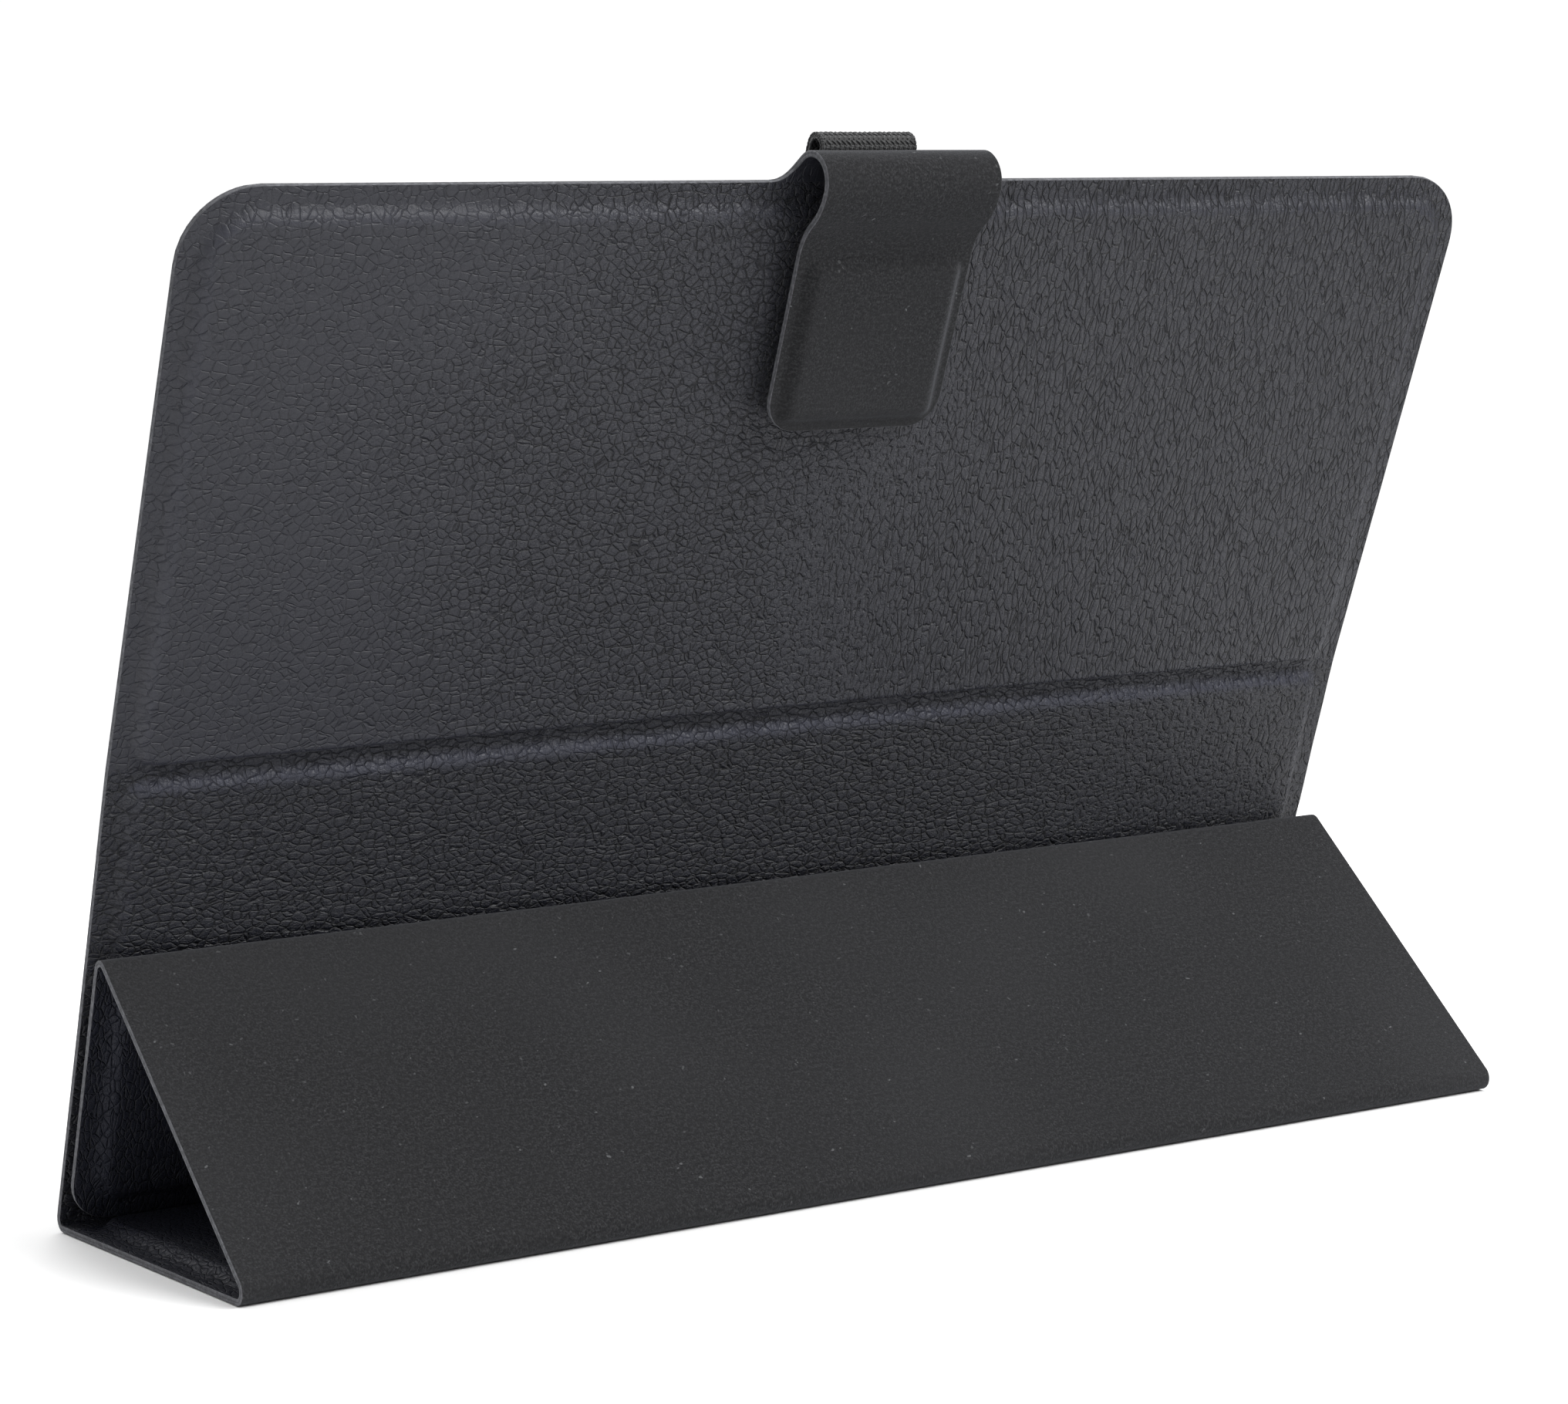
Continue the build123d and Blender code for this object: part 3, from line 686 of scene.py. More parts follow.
def make_finishes():
    tints = bpy.context.scene.case_colours
    wave, line = 0.28, 0.10
    finishes.update({
        "skin_upper": leather(
            "grained_skin_upper", tints.leather, (1.15 * MM, 2.9 * MM), (1.75 * MM, 1.5 * MM),
            wave, line, 0.42 * MM),
        # the lower back's skin: the same leather in a deeper tint, as painted shade
        "skin_lower": leather(
            "grained_skin_lower_painted_shade", tints.leather_low_painted_shade, (1.5 * MM, 2.4 * MM), (2.0 * MM, 1.35 * MM),
            wave, line, 0.55 * MM),
        # the skin inside the stand: the same leather, deeper in tint than the upper back, as painted shade
        "skin_inner": leather(
            "grained_skin_inner_painted_shade", scaled(tints.leather_low_painted_shade, 1.5), (0.95 * MM, 2.2 * MM), (1.6 * MM, 1.3 * MM),
            wave, line, 0.55 * MM, specular=0.2),
        "lining": microfibre("microfibre_lining", tints.microfibre),
        "cut_edge": cut_edge("laminate_cut_edge", tints.cut_edge),
        "elastic": elastic("woven_elastic", tints.elastic),
        # painted shade: the same elastic, nearly black, so the gaps between the yarn floats read as shadow
        "elastic_core_painted_shade": elastic("elastic_core_painted_shade", scaled(tints.elastic, 0.15)),
        "board": solid_finish("stiff_grey_board", tints.board, 0.85, 0.3, (900, 900, 900), 0.05 * MM),
        "steel": solid_finish("bare_steel", tints.steel, 0.35, 0.5, (300, 6000, 300), 0.01 * MM, 1.0),
        "tape": solid_finish("bonding_tape", tints.tape, 0.6, 0.4, (200, 200, 200), 0.03 * MM),
        "thread": elastic("sewing_thread", scaled(tints.elastic, 0.8)),
        "floor": pale_floor("pale_floor", tints.floor),
    })


# ---- Geometry Nodes: yarns and stitches laid on given points ------------------------------------
def float_tree(name):
    """Tree that lays one rounded float of yarn on every point, turned by the point's own attribute."""
    tree = bpy.data.node_groups.new(name, "GeometryNodeTree")
    face = tree.interface
    face.new_socket("Geometry", in_out="INPUT", socket_type="NodeSocketGeometry")
    for key, value in (("Float length", 1.2 * MM), ("Float width", 0.5 * MM), ("Float height", 0.4 * MM),
                       ("Size variation", 0.12)):
        face.new_socket(key, in_out="INPUT", socket_type="NodeSocketFloat").default_value = value
    face.new_socket("Seed", in_out="INPUT", socket_type="NodeSocketInt").default_value = 7
    face.new_socket("Material", in_out="INPUT", socket_type="NodeSocketMaterial")
    face.new_socket("Geometry", in_out="OUTPUT", socket_type="NodeSocketGeometry")
    given = wire(tree, "NodeGroupInput").outputs
    ball = wire(tree, "GeometryNodeMeshUVSphere", inputs={"Segments": 8, "Rings": 6, "Radius": 0.5})
    size = wire(tree, "ShaderNodeCombineXYZ", inputs={
        "X": given["Float length"], "Y": given["Float width"], "Z": given["Float height"]})
    shaped = wire(tree, "GeometryNodeTransform", inputs={
        "Geometry": ball.outputs["Mesh"], "Scale": size.outputs[0]})
    turn = wire(tree, "GeometryNodeInputNamedAttribute", {"data_type": "FLOAT_VECTOR"}, {"Name": "turn"})
    rotation = wire(tree, "FunctionNodeEulerToRotation", inputs={0: turn.outputs["Attribute"]})
    least, most = (
        wire(tree, "ShaderNodeMath", {"operation": way}, {0: 1.0, 1: given["Size variation"]}).outputs[0]
        for way in ("SUBTRACT", "ADD"))
    vary = wire(tree, "FunctionNodeRandomValue", {"data_type": "FLOAT"}, {
        2: least, 3: most, "Seed": given["Seed"]})
    lay = wire(tree, "GeometryNodeInstanceOnPoints", inputs={
        "Points": given["Geometry"], "Instance": shaped.outputs[0], "Rotation": rotation.outputs[0],
        "Scale": vary.outputs[1]})
    real = wire(tree, "GeometryNodeRealizeInstances", inputs={0: lay.outputs[0]})
    dressed = wire(tree, "GeometryNodeSetMaterial", inputs={
        "Geometry": real.outputs[0], "Material": given["Material"]})
    wire(tree, "NodeGroupOutput", inputs={0: dressed.outputs[0]})
    return tree


def floats(name, spots, sizes, material, seed):
    """Yarn floats on the given spots, each (place, along, out), as one plain mesh."""
    tree = bpy.data.node_groups.get("Yarn floats") or float_tree("Yarn floats")
    sockets = {item.name: item for item in tree.interface.items_tree if item.in_out == "INPUT"}
    mesh = bpy.data.meshes.new(name + "_spots")
    mesh.from_pydata([tuple(place) for place, _, _ in spots], [], [])
    turns = []
    for _, along, out in spots:
        x, z = Vector(along).normalized(), Vector(out).normalized()
        y = z.cross(x).normalized()
        turns += Matrix((x, y, y.cross(x) * -1)).transposed().to_euler()[:]
    mesh.attributes.new("turn", "FLOAT_VECTOR", "POINT").data.foreach_set("vector", turns)
    host = bpy.data.objects.new(name, mesh)
    bpy.context.scene.collection.objects.link(host)
    modifier = host.modifiers.new("Yarn floats", "NODES")
    modifier.node_group = tree
    given = dict(zip(("Float length", "Float width", "Float height"), sizes))
    given.update({"Seed": seed, "Material": material})
    for key, value in given.items():
        modifier[sockets[key].identifier] = value
    bpy.context.view_layer.update()
    made = bpy.data.meshes.new_from_object(host.evaluated_get(bpy.context.evaluated_depsgraph_get()))
    host.modifiers.clear()
    host.data = made
    made.name = name
    if "turn" in made.attributes:
        made.attributes.remove(made.attributes["turn"])
    made.polygons.foreach_set("use_smooth", np.ones(len(made.polygons), bool))
    return host


# ---- pieces -------------------------------------------------------------------------------------
paths = {}


def settled(piece, nodes, body=None, between=None):
    """Hides the CAD nodes a finished piece stands for, and ties it to its body, or fixes it where it lies
    when it stands between two bodies.
    """
    if nodes:
        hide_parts(*nodes)
    if body:
        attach(piece, body)
    else:
        first, second, path = between
        path.end_of(0.0)
        path.end_of(path.length)
        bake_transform(piece)


def panel_shape(name):
    """Ends, corner radii and exposed ends of one panel."""
    s = bpy.context.scene.case_sizes
    fold, stand, free = (s.fold_edge, s.fold_bevel), (s.stand_edge, s.fold_bevel), (s.edge, s.bevel)
    inner = s.board_corner
    flap_board = s.flap_corner - s.edge + s.bevel
    return {
        "flap": ((free, stand), (s.flap_corner, 0.0), (flap_board, inner), (True, False)),
        "riser": ((stand, stand), (0.0, 0.0), (inner, inner), (False, False)),
        "base": ((stand, fold), (0.0, 0.0), (inner, inner), (False, False)),
        "lower": ((fold, (s.fold_edge, s.crease_bevel)), (0.0, 0.0), (inner, inner), (False, False)),
        "upper": ((fold, free), (0.0, s.back_corner), (inner, s.back_corner - s.edge), (False, True)),
    }[name]


def rounded_half(half, run, low, high):
    """Half width at a distance along a panel whose ends have rounded corners."""
    def at(s):
        for radius, away in ((low, s), (high, run - s)):
            if radius > 0 and away < radius:
                return half - radius + (max(radius ** 2 - (radius - away) ** 2, 0.0)) ** 0.5
        return half
    return at


def grain_masks(name, x, s, run, shoulder, depth):
    """How strong the grain, the wrinkles and the painted highlight are over one panel's skin."""
    grain, upright = np.ones_like(x), np.zeros_like(x)
    if name == "upper":
        grain = 0.32 + 0.83 * smooth((x + 0.10) / 0.08 + 0.25 * wander(x, s, 0.03, 0.03, 5))
        upright = smooth((x + 0.3 * s + 0.015) / 0.06 + 0.3 * wander(x, s, 0.02, 0.03, 6))
    if name == "lower":
        grain = 0.85 + 0.4 * smooth((x + 0.06) / 0.08)
        upright = 0.6 * smooth((x - 0.04) / 0.06)
    slope = np.clip(1 - np.abs(depth - 1.0 * MM) / (2.6 * MM), 0, 1)
    wrinkle = 0.5 * slope
    # painted highlight along the board's rounded upper edge
    worn = shoulder * 0.35
    # inside the stand: weaker grain and only a faint painted highlight
    if name in ("flap", "riser", "base"):
        grain, upright, worn = grain * 0.6, upright + 0.85, shoulder * 0.08
    if name == "lower":
        wrinkle += 0.9 * smooth((s - run + 4.5 * MM) / (3 * MM))
        # painted highlight band on the lower board's rounded top edge beside the crease, where light catches
        # it; the grain is weaker there
        band = np.exp(-((run - s - 2.1 * MM) / (1.2 * MM)) ** 2) * smooth((depth + 0.5 * MM) / MM)
        worn = np.maximum(worn, band)
        grain = grain * (1 - 0.4 * band)
    return {"grain": grain, "wrinkle": wrinkle, "worn": worn, "upright": upright}


def plain_masks(x, **values):
    """The same attributes as grain_masks, each with one value everywhere."""
    return {key: np.full_like(x, value) for key, value in values.items()}


class CASE_OT_finishes(bpy.types.Operator):
    """Make the materials, and dress the parts that are sealed inside the panels"""
    bl_idname = "case.finishes"
    bl_label = "Finishes"

    def execute(self, context):
        make_finishes()
        paths.update(run_paths())
        hidden = {"board": "board", "magnet": "steel", "keeper": "steel", "tape": "tape"}
        for name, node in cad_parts.items():
            for word, finish in hidden.items():
                if word in name:
                    node.data.materials.clear()
                    node.data.materials.append(finishes[finish])
        return {"FINISHED"}


class CASE_OT_covers(bpy.types.Operator):
    """Make the grained skins, raised over the boards, one for each panel"""
    bl_idname = "case.covers"
    bl_label = "Grained covers"

    def execute(self, context):
        z = context.scene.case_sizes
        half = half_width()
        flat = z.skin + z.lining
        for name, body in PANEL_BODIES.items():
            path = paths[name]
            ends, sheet_corners, board_corners, exposed = panel_shape(name)
            run = path.length
            across = mirrored(half, 0.25 * MM, z.mesh_step)
            lines = graded(run, 0.10 * MM, 0.10 * MM, z.mesh_step * 1.1)

            def heights(x, s):
                return raised(x, s, half, run, ends, (z.edge, z.bevel), board_corners, z.round_over)

            def surfaces(x, s):
                rise, _, depth = heights(x, s)
                seed = sum(map(ord, name))
                waves = 0.035 * MM * wander(x, s, 0.022, 0.017, seed)
                near_edge = np.clip(1 - depth / 0.006, 0.25, 1)
                waves += 0.02 * MM * wander(x, s, 0.006, 0.005, seed + 1) * near_edge
                if name == "lower":
                    right = smooth((x - 0.03) / 0.06)
                    waves += right * 0.05 * MM * wander(x + 0.3 * s, s, 0.0032, 0.022, seed + 2)
                edge_fade = smooth(np.minimum(s, run - s) / (1.2 * MM)) if not any(exposed) else smooth(
                    (s if name == "upper" else run - s) / (1.2 * MM))
                top = flat + rise * z.board + waves * edge_fade
                under = np.where(rise > 0.999, z.lining + z.board, np.maximum(top - z.skin, z.lining))
                thinnest = np.where(depth >= z.fold_bevel * 0.9, 0.2 * MM, 0.45 * MM)
                return top, np.maximum(np.minimum(under, top - thinnest), z.lining)

            def masks(x, s):
                _, shoulder, depth = heights(x, s)
                return grain_masks(name, x, s, run, shoulder, depth)

            # the lower back and the stand's panels take the deeper-tinted skins, whose tints are painted
            # shade
            skin = finishes["skin_" + (name if name in ("upper", "lower") else "inner")]
            narrow = rounded_half(half, run, *sheet_corners) if any(sheet_corners) else None
            piece = sheet(name + "_cover", path, lines, across, surfaces, (skin, finishes["cut_edge"]),
                          exposed, narrow, extra=masks)
            settled(piece, [name + "_skin"], body)
        return {"FINISHED"}


class CASE_OT_linings(bpy.types.Operator):
    """Make the microfibre linings, one for each panel"""
    bl_idname = "case.linings"
    bl_label = "Linings"

    def execute(self, context):
        z = context.scene.case_sizes
        half = half_width()
        for name, body in PANEL_BODIES.items():
            path = paths[name]
            _, sheet_corners, _, exposed = panel_shape(name)
            run = path.length
            across = mirrored(half, 0.3 * MM, 2.5 * MM)
            lines = graded(run, 0.3 * MM, 0.3 * MM, 2.5 * MM)

            def surfaces(x, s):
                border = smooth(np.minimum(half - np.abs(x), np.minimum(s, run - s)) / (6 * MM))
                dip = border * (0.05 * MM * (wander(x, s, 0.02, 0.014, 31 + len(name)) + 1) / 2)
                return np.full_like(x, z.lining), np.minimum(dip, z.lining * 0.4)

            narrow = rounded_half(half, run, *sheet_corners) if any(sheet_corners) else None
            piece = sheet(name + "_lining_cloth", path, lines, across, surfaces,
                          (finishes["lining"], finishes["cut_edge"]), exposed, narrow)
            settled(piece, [name + "_lining"], body)
        return {"FINISHED"}


class CASE_OT_folds(bpy.types.Operator):
    """Make the folds, the crease and the soft spine, which bend between their two panels"""
    bl_idname = "case.folds"
    bl_label = "Folds and spine"

    def execute(self, context):
        z = context.scene.case_sizes
        half = half_width()
        across = mirrored(half, 0.25 * MM, 1.6 * MM)
        flat = z.skin + z.lining
        for name in (*FOLDS, "spine"):
            path = paths[name]
            lines = np.linspace(0, path.length, max(int(path.length / (0.14 * MM)), 9))
            seed = 50 + len(name)

            def fade(s):
                return smooth(np.minimum(s, path.length - s) / (0.3 * path.length))

            def skin(x, s):
                folded = 0.05 * MM * wander(x, s, 0.0021, 0.0011, seed) * fade(s)
                return flat + folded, np.full_like(x, z.lining)

            def lining(x, s):
                folded = 0.03 * MM * (wander(x, s, 0.012, 0.003, seed + 3) + 1) / 2 * fade(s)
                return np.full_like(x, z.lining), folded

            def masks(x, s):
                # a faint painted highlight over the whole fold
                return plain_masks(x, grain=0.6, wrinkle=0.8, worn=0.15, upright=0.0)

            between = (*FOLDS[name], path) if name in FOLDS else None
            body = None if between else "spine"
            # the folds take the deeper-tinted lower skin, whose tint is painted shade
            for layer, shape, finish, slot in (("skin", skin, "skin_lower", "grained_skin"),
                                               ("lining", lining, "lining", "microfibre")):
                piece = sheet(f"{name}_{layer}_bend", path, lines, across, shape,
                              (finishes[finish], finishes["cut_edge"]),
                              extra=masks if layer == "skin" else None)
                settled(piece, [f"{name}_{layer}"], body, between)
        return {"FINISHED"}


class CASE_OT_strap(bpy.types.Operator):
    """Make the closing strap: its flared root, its fold and the raised magnet pad"""
    bl_idname = "case.strap"
    bl_label = "Closing strap"

    def execute(self, context):
        z, t = context.scene.case_sizes, context.scene.case_strap
        half, flat = t.width / 2, z.skin + z.lining
        across = mirrored(half, 0.2 * MM, 0.8 * MM)
        tongue = paths["tongue"]
        ease = tongue.length - t.pad

        def flare(s):
            if s >= t.flare:
                return half
            return half + t.flare - (t.flare ** 2 - (t.flare - s) ** 2) ** 0.5

        def pad(x, s):
            free, corner = (t.edge, t.bevel), z.board_corner / 2
            rise, _, _ = raised(x, s - ease, half, t.pad, ((0.0, z.stand_edge + z.fold_bevel), free),
                                free, (corner, corner), 0.6 * MM)
            return np.where(s > ease, rise, 0.0)

        bodies = {
            "strap_root": (None, ("back_upper", "strap_bridge", paths["strap_root"])),
            "strap_bridge": ("strap_bridge", None),
            "strap_bend": (None, ("strap_bridge", "strap_tongue", paths["strap_bend"])),
            "tongue": ("strap_tongue", None),
        }
        for name, (body, between) in bodies.items():
            path = paths[name]
            is_tongue = name == "tongue"
            if is_tongue:
                pad_lines = graded(t.pad, 0.2 * MM, 0.1 * MM, 0.7 * MM)
                lines = np.concatenate([np.linspace(0, ease, 40)[:-1], ease + pad_lines])
            else:
                lines = np.linspace(0, path.length, max(int(path.length / (0.15 * MM)), 9))
            narrow = flare if name == "strap_root" else None
            if is_tongue:
                narrow = rounded_half(half, path.length, 0.0, t.corner)

            def skin(x, s):
                return np.full_like(x, flat), np.full_like(x, z.lining)

            def lining(x, s):
                soft = 0.03 * MM * wander(x, s, 0.009, 0.006, 77)
                soft = soft * smooth(np.minimum(s, path.length - s) / (1 * MM))
                if not is_tongue:
                    return np.full_like(x, z.lining), soft
                lift = pad(x, s) * z.board
                return z.lining - lift, soft - lift

            def masks(x, s):
                return plain_masks(x, grain=0.15, wrinkle=0.2, worn=0.0, upright=1.0)

            cad = "strap_tongue" if is_tongue else name
            lines_x = across * (flare(0.0) / half) if name == "strap_root" else across
            for layer, shape, finish, slot in (("skin", skin, "skin_upper", "grained_skin"),
                                               ("lining", lining, "lining", "microfibre")):
                piece = sheet(f"{cad}_{layer}_cloth", path, lines, lines_x, shape,
                              (finishes[finish], finishes["cut_edge"]), (name == "strap_root", is_tongue),
                              narrow, t.shift, masks if layer == "skin" else None)
                settled(piece, [f"{cad}_{layer}"], body, between)
        return {"FINISHED"}


def back_directions():
    """The upper back's lining at the crease, and its directions along and outward."""
    _, origin, along, out, _, _ = paths["upper"].runs[0]
    return origin, along, out


class CASE_OT_pen_loop(bpy.types.Operator):
    """Make the woven elastic pen loop behind the strap, with its yarns"""
    bl_idname = "case.pen_loop"
    bl_label = "Pen loop"

    def execute(self, context):
        p = context.scene.case_loop
        upper = paths["upper"]
        core = p.thickness - p.yarn_width * 0.9
        bend = p.depth / 2 - p.thickness / 2
        start = upper.at - upper.along * p.leg - upper.out * (p.gap + p.thickness / 2)
        # up the front, over the top, down the back, and forward again to lie behind the first leg
        forward = p.depth - 2 * p.thickness
        path = Path(start, upper.along, -upper.out)
        path.straight(p.leg + p.rise - p.thickness / 2 - bend).bend(bend, pi)
        path.straight(p.rise - p.thickness / 2 - bend - forward)
        path.bend(forward / 2, pi / 2).bend(forward / 2, -pi / 2).straight(p.leg)
        lines = np.linspace(0, path.length, int(path.length / (0.25 * MM)))
        across = np.linspace(-p.width / 2 + 0.15 * MM, p.width / 2 - 0.15 * MM, 41)

        def band(x, s):
            full = np.ones_like(x)
            return full * core / 2, -full * core / 2

        # the nearly black core shows between the yarns as painted shade
        piece = sheet("pen_loop_band", path, lines, across, band, [finishes["elastic_core_painted_shade"]], (True, True),
                      shift=p.shift, rim=0.15 * MM)
        spots = []
        rows = int(path.length / p.yarn_row)
        count = int(p.width / p.yarn_pitch)
        for row in range(rows):
            s = (row + 0.5) * path.length / rows
            place, along, out, _ = path.points([s])
            for side in (-1, 1):
                inside_leg = s < p.leg and side < 0
                if s > path.length - p.leg - 1 * MM and side > 0 or inside_leg:
                    continue
                y, z = place[0] + out[0] * side * core / 2
                lean = 1 if row % 2 else -1
                for k in range(count):
                    x = p.shift + (k + 0.5 + 0.25 * lean) / count * p.width - p.width / 2
                    spots.append(((x, y, z), (0.70, *(along[0] * 0.71 * lean)), (0.0, *(out[0] * side))))
            # the doubled selvedges at the two ends
            for end in (-1, 1):
                x = p.shift + end * (p.width / 2 - 0.1 * MM)
                for side in (-0.5, 0.5):
                    y, z = place[0] + out[0] * side * core
                    spots.append(((x, y, z), (0.0, *along[0]), (float(end), 0.0, 0.0)))
        yarns = floats("pen_loop_yarns", spots, (p.yarn_length, p.yarn_width, p.yarn_width * 1.1),
                       finishes["elastic"], 11)
        for one in (piece, yarns):
            settled(one, ["pen_loop"] if one is piece else None, "back_upper")
            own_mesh(one)
        return {"FINISHED"}


class CASE_OT_carrier(bpy.types.Operator):
    """Make the covered plate behind the case that holds the tablet"""
    bl_idname = "case.carrier"
    bl_label = "Tablet carrier"

    def execute(self, context):
        c = context.scene.case_carrier
        origin, along, out = back_directions()
        co = mesh_points("carrier_cover")
        half, side = co[:, 0].max(), co[:, 1:] - origin
        low, run = (side @ along).min(), float(np.ptp(side @ along))
        near, far = (side @ out).max(), (side @ out).min()
        path = Path(origin + along * low, along, out).straight(run)
        across = mirrored(half, 0.2 * MM, 2.2 * MM)
        lines = graded(run, 0.08 * MM, 0.08 * MM, 2.2 * MM)
        corner = c.corner

        def surfaces(x, s):
            _, _, depth = raised(x, s, half, run, ((0, 0), (0, 0)), (0, 1e-6), (corner, corner), 1e-6)
            inwards = np.clip(depth / (0.9 * MM), 0, 1)
            turn_in = 0.45 * MM * (1 - np.sqrt(np.clip(1 - (1 - inwards) ** 2, 0, 1)))
            pressed = 0.16 * MM * np.exp(-((depth - 4 * MM) / (0.7 * MM)) ** 2)
            soft = 0.02 * MM * wander(x, s, 0.02, 0.02, 91)
            return np.full_like(x, near) - turn_in * 0.3, far + turn_in + pressed + np.abs(soft)

        piece = sheet("carrier_cloth", path, lines, across, surfaces, [finishes["lining"]], (True, True),
                      rounded_half(half, run, corner, corner), rim=0.05 * MM)
        settled(piece, ["carrier_cover", "carrier_board"], "back_upper")
        return {"FINISHED"}


class CASE_OT_corner_straps(bpy.types.Operator):
    """Make the four ribbed elastic corner straps and the bar tacks that hold them"""
    bl_idname = "case.corner_straps"
    bl_label = "Corner straps"

    def execute(self, context):
        c = context.scene.case_carrier
        origin, v, n = back_directions()
        threads = []
        for end in ("bottom", "top"):
            for side in ("left", "right"):
                node = f"corner_strap_{end}_{side}"
                co = mesh_points(node)
                plan = np.stack([co[:, 0], (co[:, 1:] - origin) @ v], 1)
                depth = (co[:, 1:] - origin) @ n
                centre = (plan.min(0) + plan.max(0)) / 2
                slope = (1 if side == "left" else -1) * (1 if end == "top" else -1)
                run_dir = np.array([1.0, slope]) / 2 ** 0.5
                cross = np.array([-run_dir[1], run_dir[0]])
                reach = (plan - centre) @ run_dir
                lo, hi = reach.min() + c.strap_width / 2, reach.max() - c.strap_width / 2
                middle = ((plan - centre) @ cross)
                centre = centre + cross * (middle.min() + middle.max()) / 2
                self.band(node, c, origin, v, n, centre, run_dir, cross, lo, hi, depth)
                half_count = TACK_STITCHES // 2
                for stop, way in ((lo, 1), (hi, -1)):
                    spot = centre + run_dir * (stop + way * TACK_INSET)
                    for k in range(TACK_STITCHES):
                        across = (k - half_count) / half_count * (c.strap_width / 2 - 1.6 * MM)
                        p = spot + cross * across
                        lean = 0.16 * (1 if k % 2 else -1)
                        aim = run_dir + cross * lean
                        place = origin + v * p[1] + n * (depth.min() - 0.08 * MM)
                        threads.append(((p[0], *place), (aim[0], *(v * aim[1])), (0.0, *(-n))))
        stitch = (2.0 * MM, 0.5 * MM, 0.3 * MM)
        stitches = floats("corner_strap_tacks", threads, stitch, finishes["thread"], 23)
        settled(stitches, ["strap_bar_tacks"], "back_upper")
        return {"FINISHED"}

    @staticmethod
    def band(node, c, origin, v, n, centre, run_dir, cross, lo, hi, depth):
        """One elastic band, cut along the plate's edges, with ribs across it and rounded selvedges."""
        half = c.strap_width / 2
        cols, rows = 25, int((hi - lo + c.strap_width) / (0.25 * MM))
        w = np.linspace(-half, half, cols)
        # each end is cut along its own edge of the plate, at 45 degrees to the band
        share = np.linspace(0, 1, rows)[:, None]
        corner_side = np.sign((centre @ cross)) or 1.0
        start = lo - half + (half + w * corner_side)[None, :]
        stop = hi + half - (half + w * corner_side)[None, :]
        along = start + (stop - start) * share
        wide = np.repeat(w[None, :], rows, 0)
        plan = centre + along[..., None] * run_dir + wide[..., None] * cross
        rib = 0.11 * MM * np.abs(np.sin(pi * along / c.rib_pitch))
        roll = 0.25 * MM * (1 - np.sqrt(np.clip(1 - (np.abs(wide) / half) ** 8, 0, 1)))
        high, low = depth.max() - roll * 0.5, depth.min() + 0.11 * MM - rib + roll
        co = []
        for level in (np.broadcast_to(high, wide.shape), np.broadcast_to(low, wide.shape)):
            place = origin + v * plan[..., 1:2] + n * level[..., None]
            co.append(np.concatenate([plan[..., 0:1], place], -1).reshape(-1, 3))
        _, squares, loop = grid_edges(rows, cols)
        under, after = rows * cols, np.roll(loop, -1)
        sides = np.stack([after, after + under, loop + under, loop], 1)
        faces = np.concatenate([squares[:, ::-1], squares + under, sides])
        piece = mesh_piece(node + "_elastic", np.concatenate(co), faces, finishes["elastic"])
        volume_outwards(piece.data)
        piece.data.set_sharp_from_angle(angle=radians(55))
        settled(piece, [node], "back_upper")


def volume_outwards(mesh):
    """Turns every face over if the closed mesh is inside out."""
    volume = 0.0
    for face in mesh.polygons:
        first, *rest = (mesh.vertices[i].co for i in face.vertices)
        for p, q in zip(rest, rest[1:]):
            volume += first.dot(p.cross(q))
    if volume < 0:
        mesh.flip_normals()


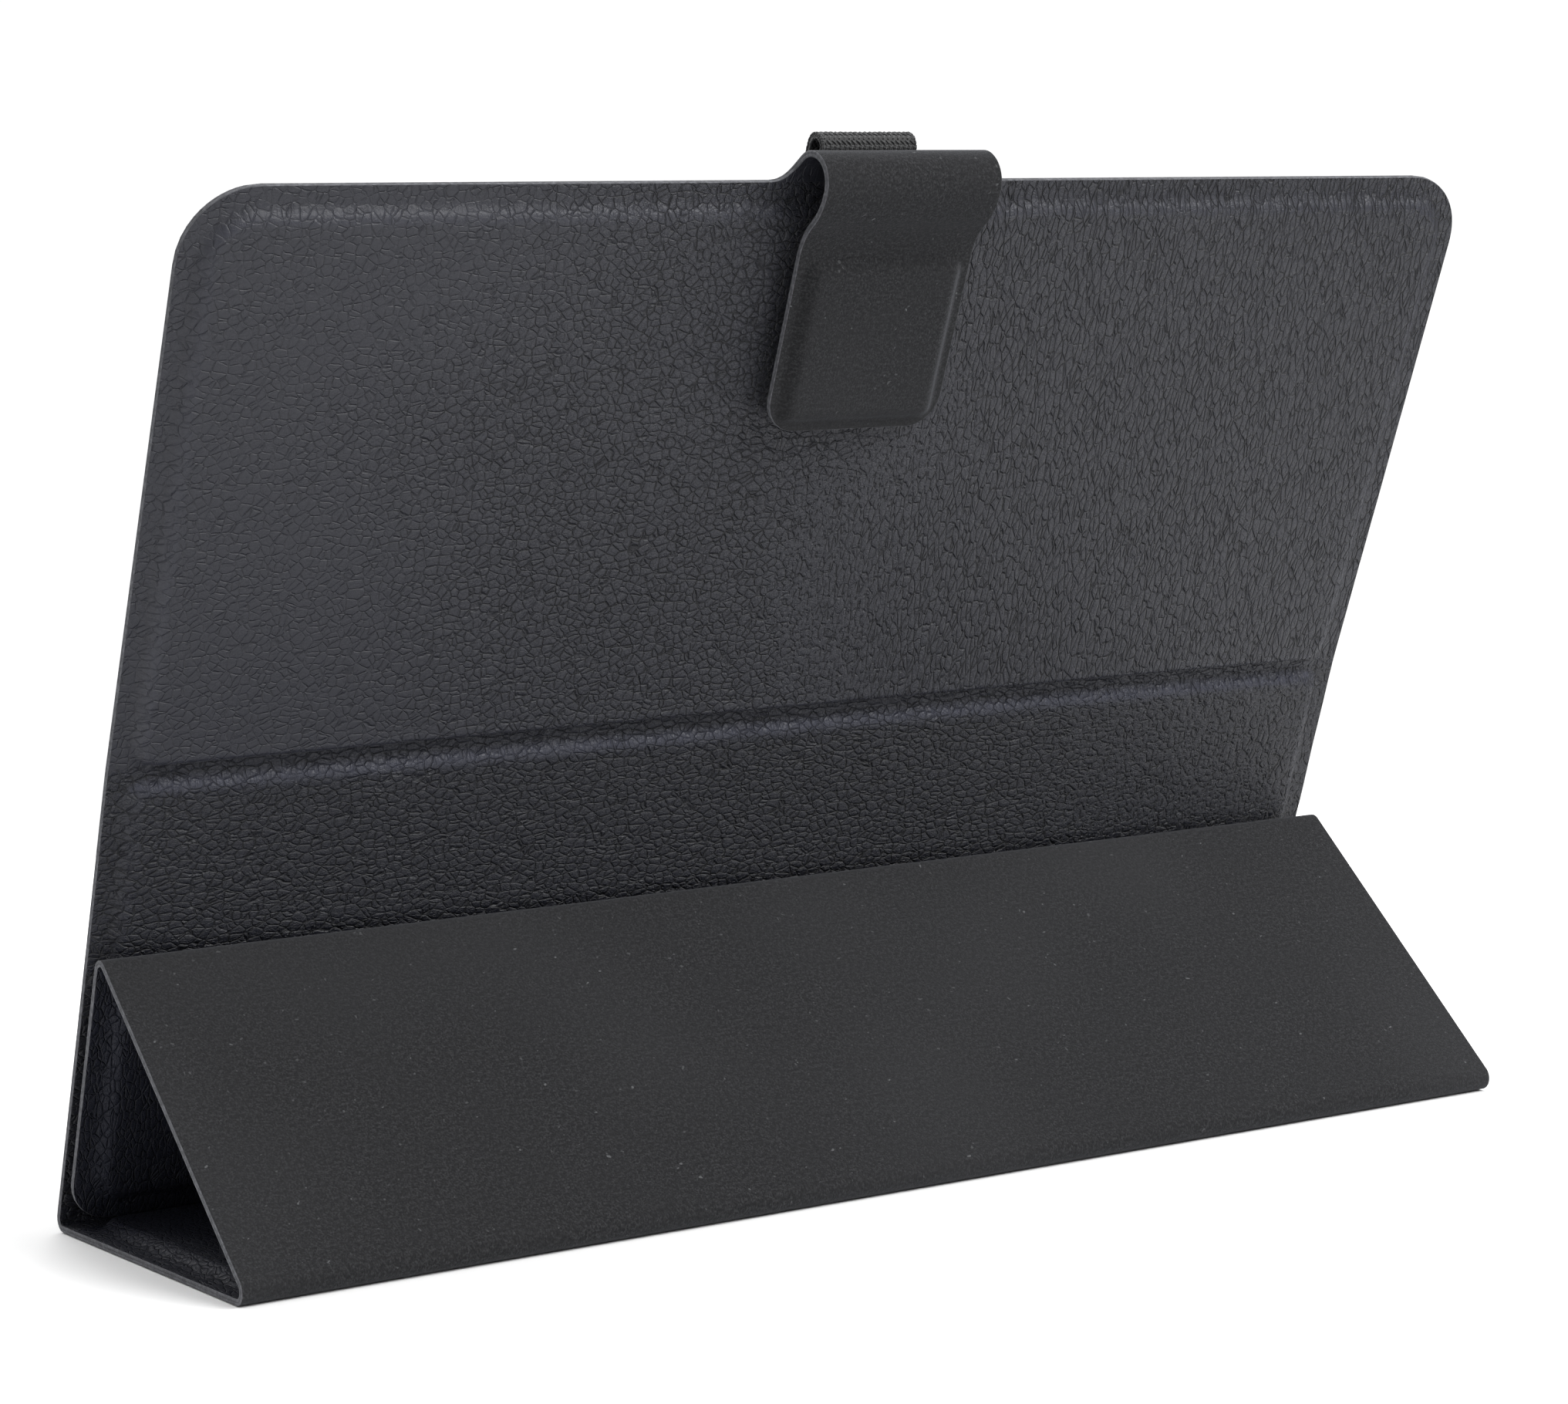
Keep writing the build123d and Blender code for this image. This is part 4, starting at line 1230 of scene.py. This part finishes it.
class CASE_OT_stage(bpy.types.Operator):
    """Make the pale floor, the soft studio light and the camera"""
    bl_idname = "case.stage"
    bl_label = "Stage"

    def execute(self, context):
        scene, s = context.scene, context.scene.case_stage
        mesh = bpy.data.meshes.new("studio_floor")
        turns = [2 * pi * k / FLOOR_SIDES for k in range(FLOOR_SIDES)]
        rim = [(FLOOR_RADIUS * cos(turn), FLOOR_RADIUS * sin(turn), -FLOOR_DROP) for turn in turns]
        mesh.from_pydata(rim, [], [tuple(range(FLOOR_SIDES))])
        mesh.materials.append(finishes["floor"])
        floor = bpy.data.objects.new("studio_floor", mesh)
        scene.collection.objects.link(floor)
        world = bpy.data.worlds.new("soft_room")
        scene.world = world
        world.use_nodes = True
        tree = world.node_tree
        back = next(n for n in tree.nodes if n.type == "BACKGROUND")
        seen = wire(tree, "ShaderNodeLightPath").outputs["Is Camera Ray"]
        level = wire(tree, "ShaderNodeMapRange", inputs={
            "Value": seen, "To Min": s.ambient, "To Max": BACKDROP})
        tree.links.new(level.outputs[0], back.inputs["Strength"])
        back.inputs["Color"].default_value = (1.0, 1.0, 1.0, 1.0)
        lights = {
            "key_softbox": ((0.55, -0.75, 0.85), (1.1, 0.9), s.key),
            "fill_softbox": ((-0.9, -0.4, 0.45), (0.7, 0.7), s.fill),
            "back_softbox": ((0.0, 0.9, 0.9), (1.4, 0.8), s.back),
        }
        for name, (place, size, power) in lights.items():
            light = bpy.data.lights.new(name, "AREA")
            light.shape, light.size, light.size_y, light.energy = "RECTANGLE", *size, power
            lamp = bpy.data.objects.new(name, light)
            lamp.location = place
            lamp.rotation_euler = (Vector(LIT_POINT) - Vector(place)).to_track_quat("-Z", "Y").to_euler()
            scene.collection.objects.link(lamp)
        sun = bpy.data.lights.new("overhead", "SUN")
        sun.angle, sun.energy = radians(120), 0.75
        scene.collection.objects.link(bpy.data.objects.new("overhead", sun))
        self.camera(scene, s)
        scene.view_settings.view_transform = "Standard"
        return {"FINISHED"}

    @staticmethod
    def camera(scene, s):
        ahead = Vector((sin(s.turn) * cos(s.tip), cos(s.turn) * cos(s.tip), -sin(s.tip)))
        right = Vector((cos(s.turn), -sin(s.turn), 0))
        up = right.cross(ahead)
        across = right * cos(s.roll) + up * sin(s.roll)
        upward = up * cos(s.roll) - right * sin(s.roll)
        lens = bpy.data.cameras.new("camera")
        lens.sensor_fit, lens.sensor_width, lens.lens = "HORIZONTAL", 36.0, s.lens
        lens.clip_start, lens.clip_end = 0.01, 50.0
        camera = bpy.data.objects.new("camera", lens)
        camera.matrix_world = Matrix.Translation(Vector(s.camera_place)) @ Matrix(
            (across, upward, -ahead)).transposed().to_4x4()
        scene.collection.objects.link(camera)
        scene.camera = camera


OPERATORS = (
    CASE_OT_finishes, CASE_OT_covers, CASE_OT_linings, CASE_OT_folds, CASE_OT_strap, CASE_OT_pen_loop,
    CASE_OT_carrier, CASE_OT_corner_straps, CASE_OT_stage,
)


class CASE_PT_sidebar(bpy.types.Panel):
    """Sizes, colours and pieces of the folio case"""
    bl_label = "Folio case"
    bl_space_type = "VIEW_3D"
    bl_region_type = "UI"
    bl_category = "Folio case"

    def draw(self, context):
        for operator in OPERATORS:
            self.layout.operator(operator.bl_idname)
        for key, group in SETTINGS.items():
            box = self.layout.box()
            settings = getattr(context.scene, key)
            for name in group.__annotations__:
                box.prop(settings, name)


def register():
    for group in SETTINGS.values():
        bpy.utils.register_class(group)
    for one in (*OPERATORS, CASE_PT_sidebar):
        bpy.utils.register_class(one)
    for key, group in SETTINGS.items():
        setattr(bpy.types.Scene, key, bpy.props.PointerProperty(type=group))


def unregister():
    for key in SETTINGS:
        delattr(bpy.types.Scene, key)
    for one in (CASE_PT_sidebar, *reversed(OPERATORS), *reversed(list(SETTINGS.values()))):
        bpy.utils.unregister_class(one)


def main():
    register()
    bpy.ops.case.finishes()
    bpy.ops.case.covers()
    bpy.ops.case.linings()
    bpy.ops.case.folds()
    bpy.ops.case.strap()
    bpy.ops.case.pen_loop()
    bpy.ops.case.carrier()
    bpy.ops.case.corner_straps()
    bpy.ops.case.stage()


if __name__ == "__main__":
    main()
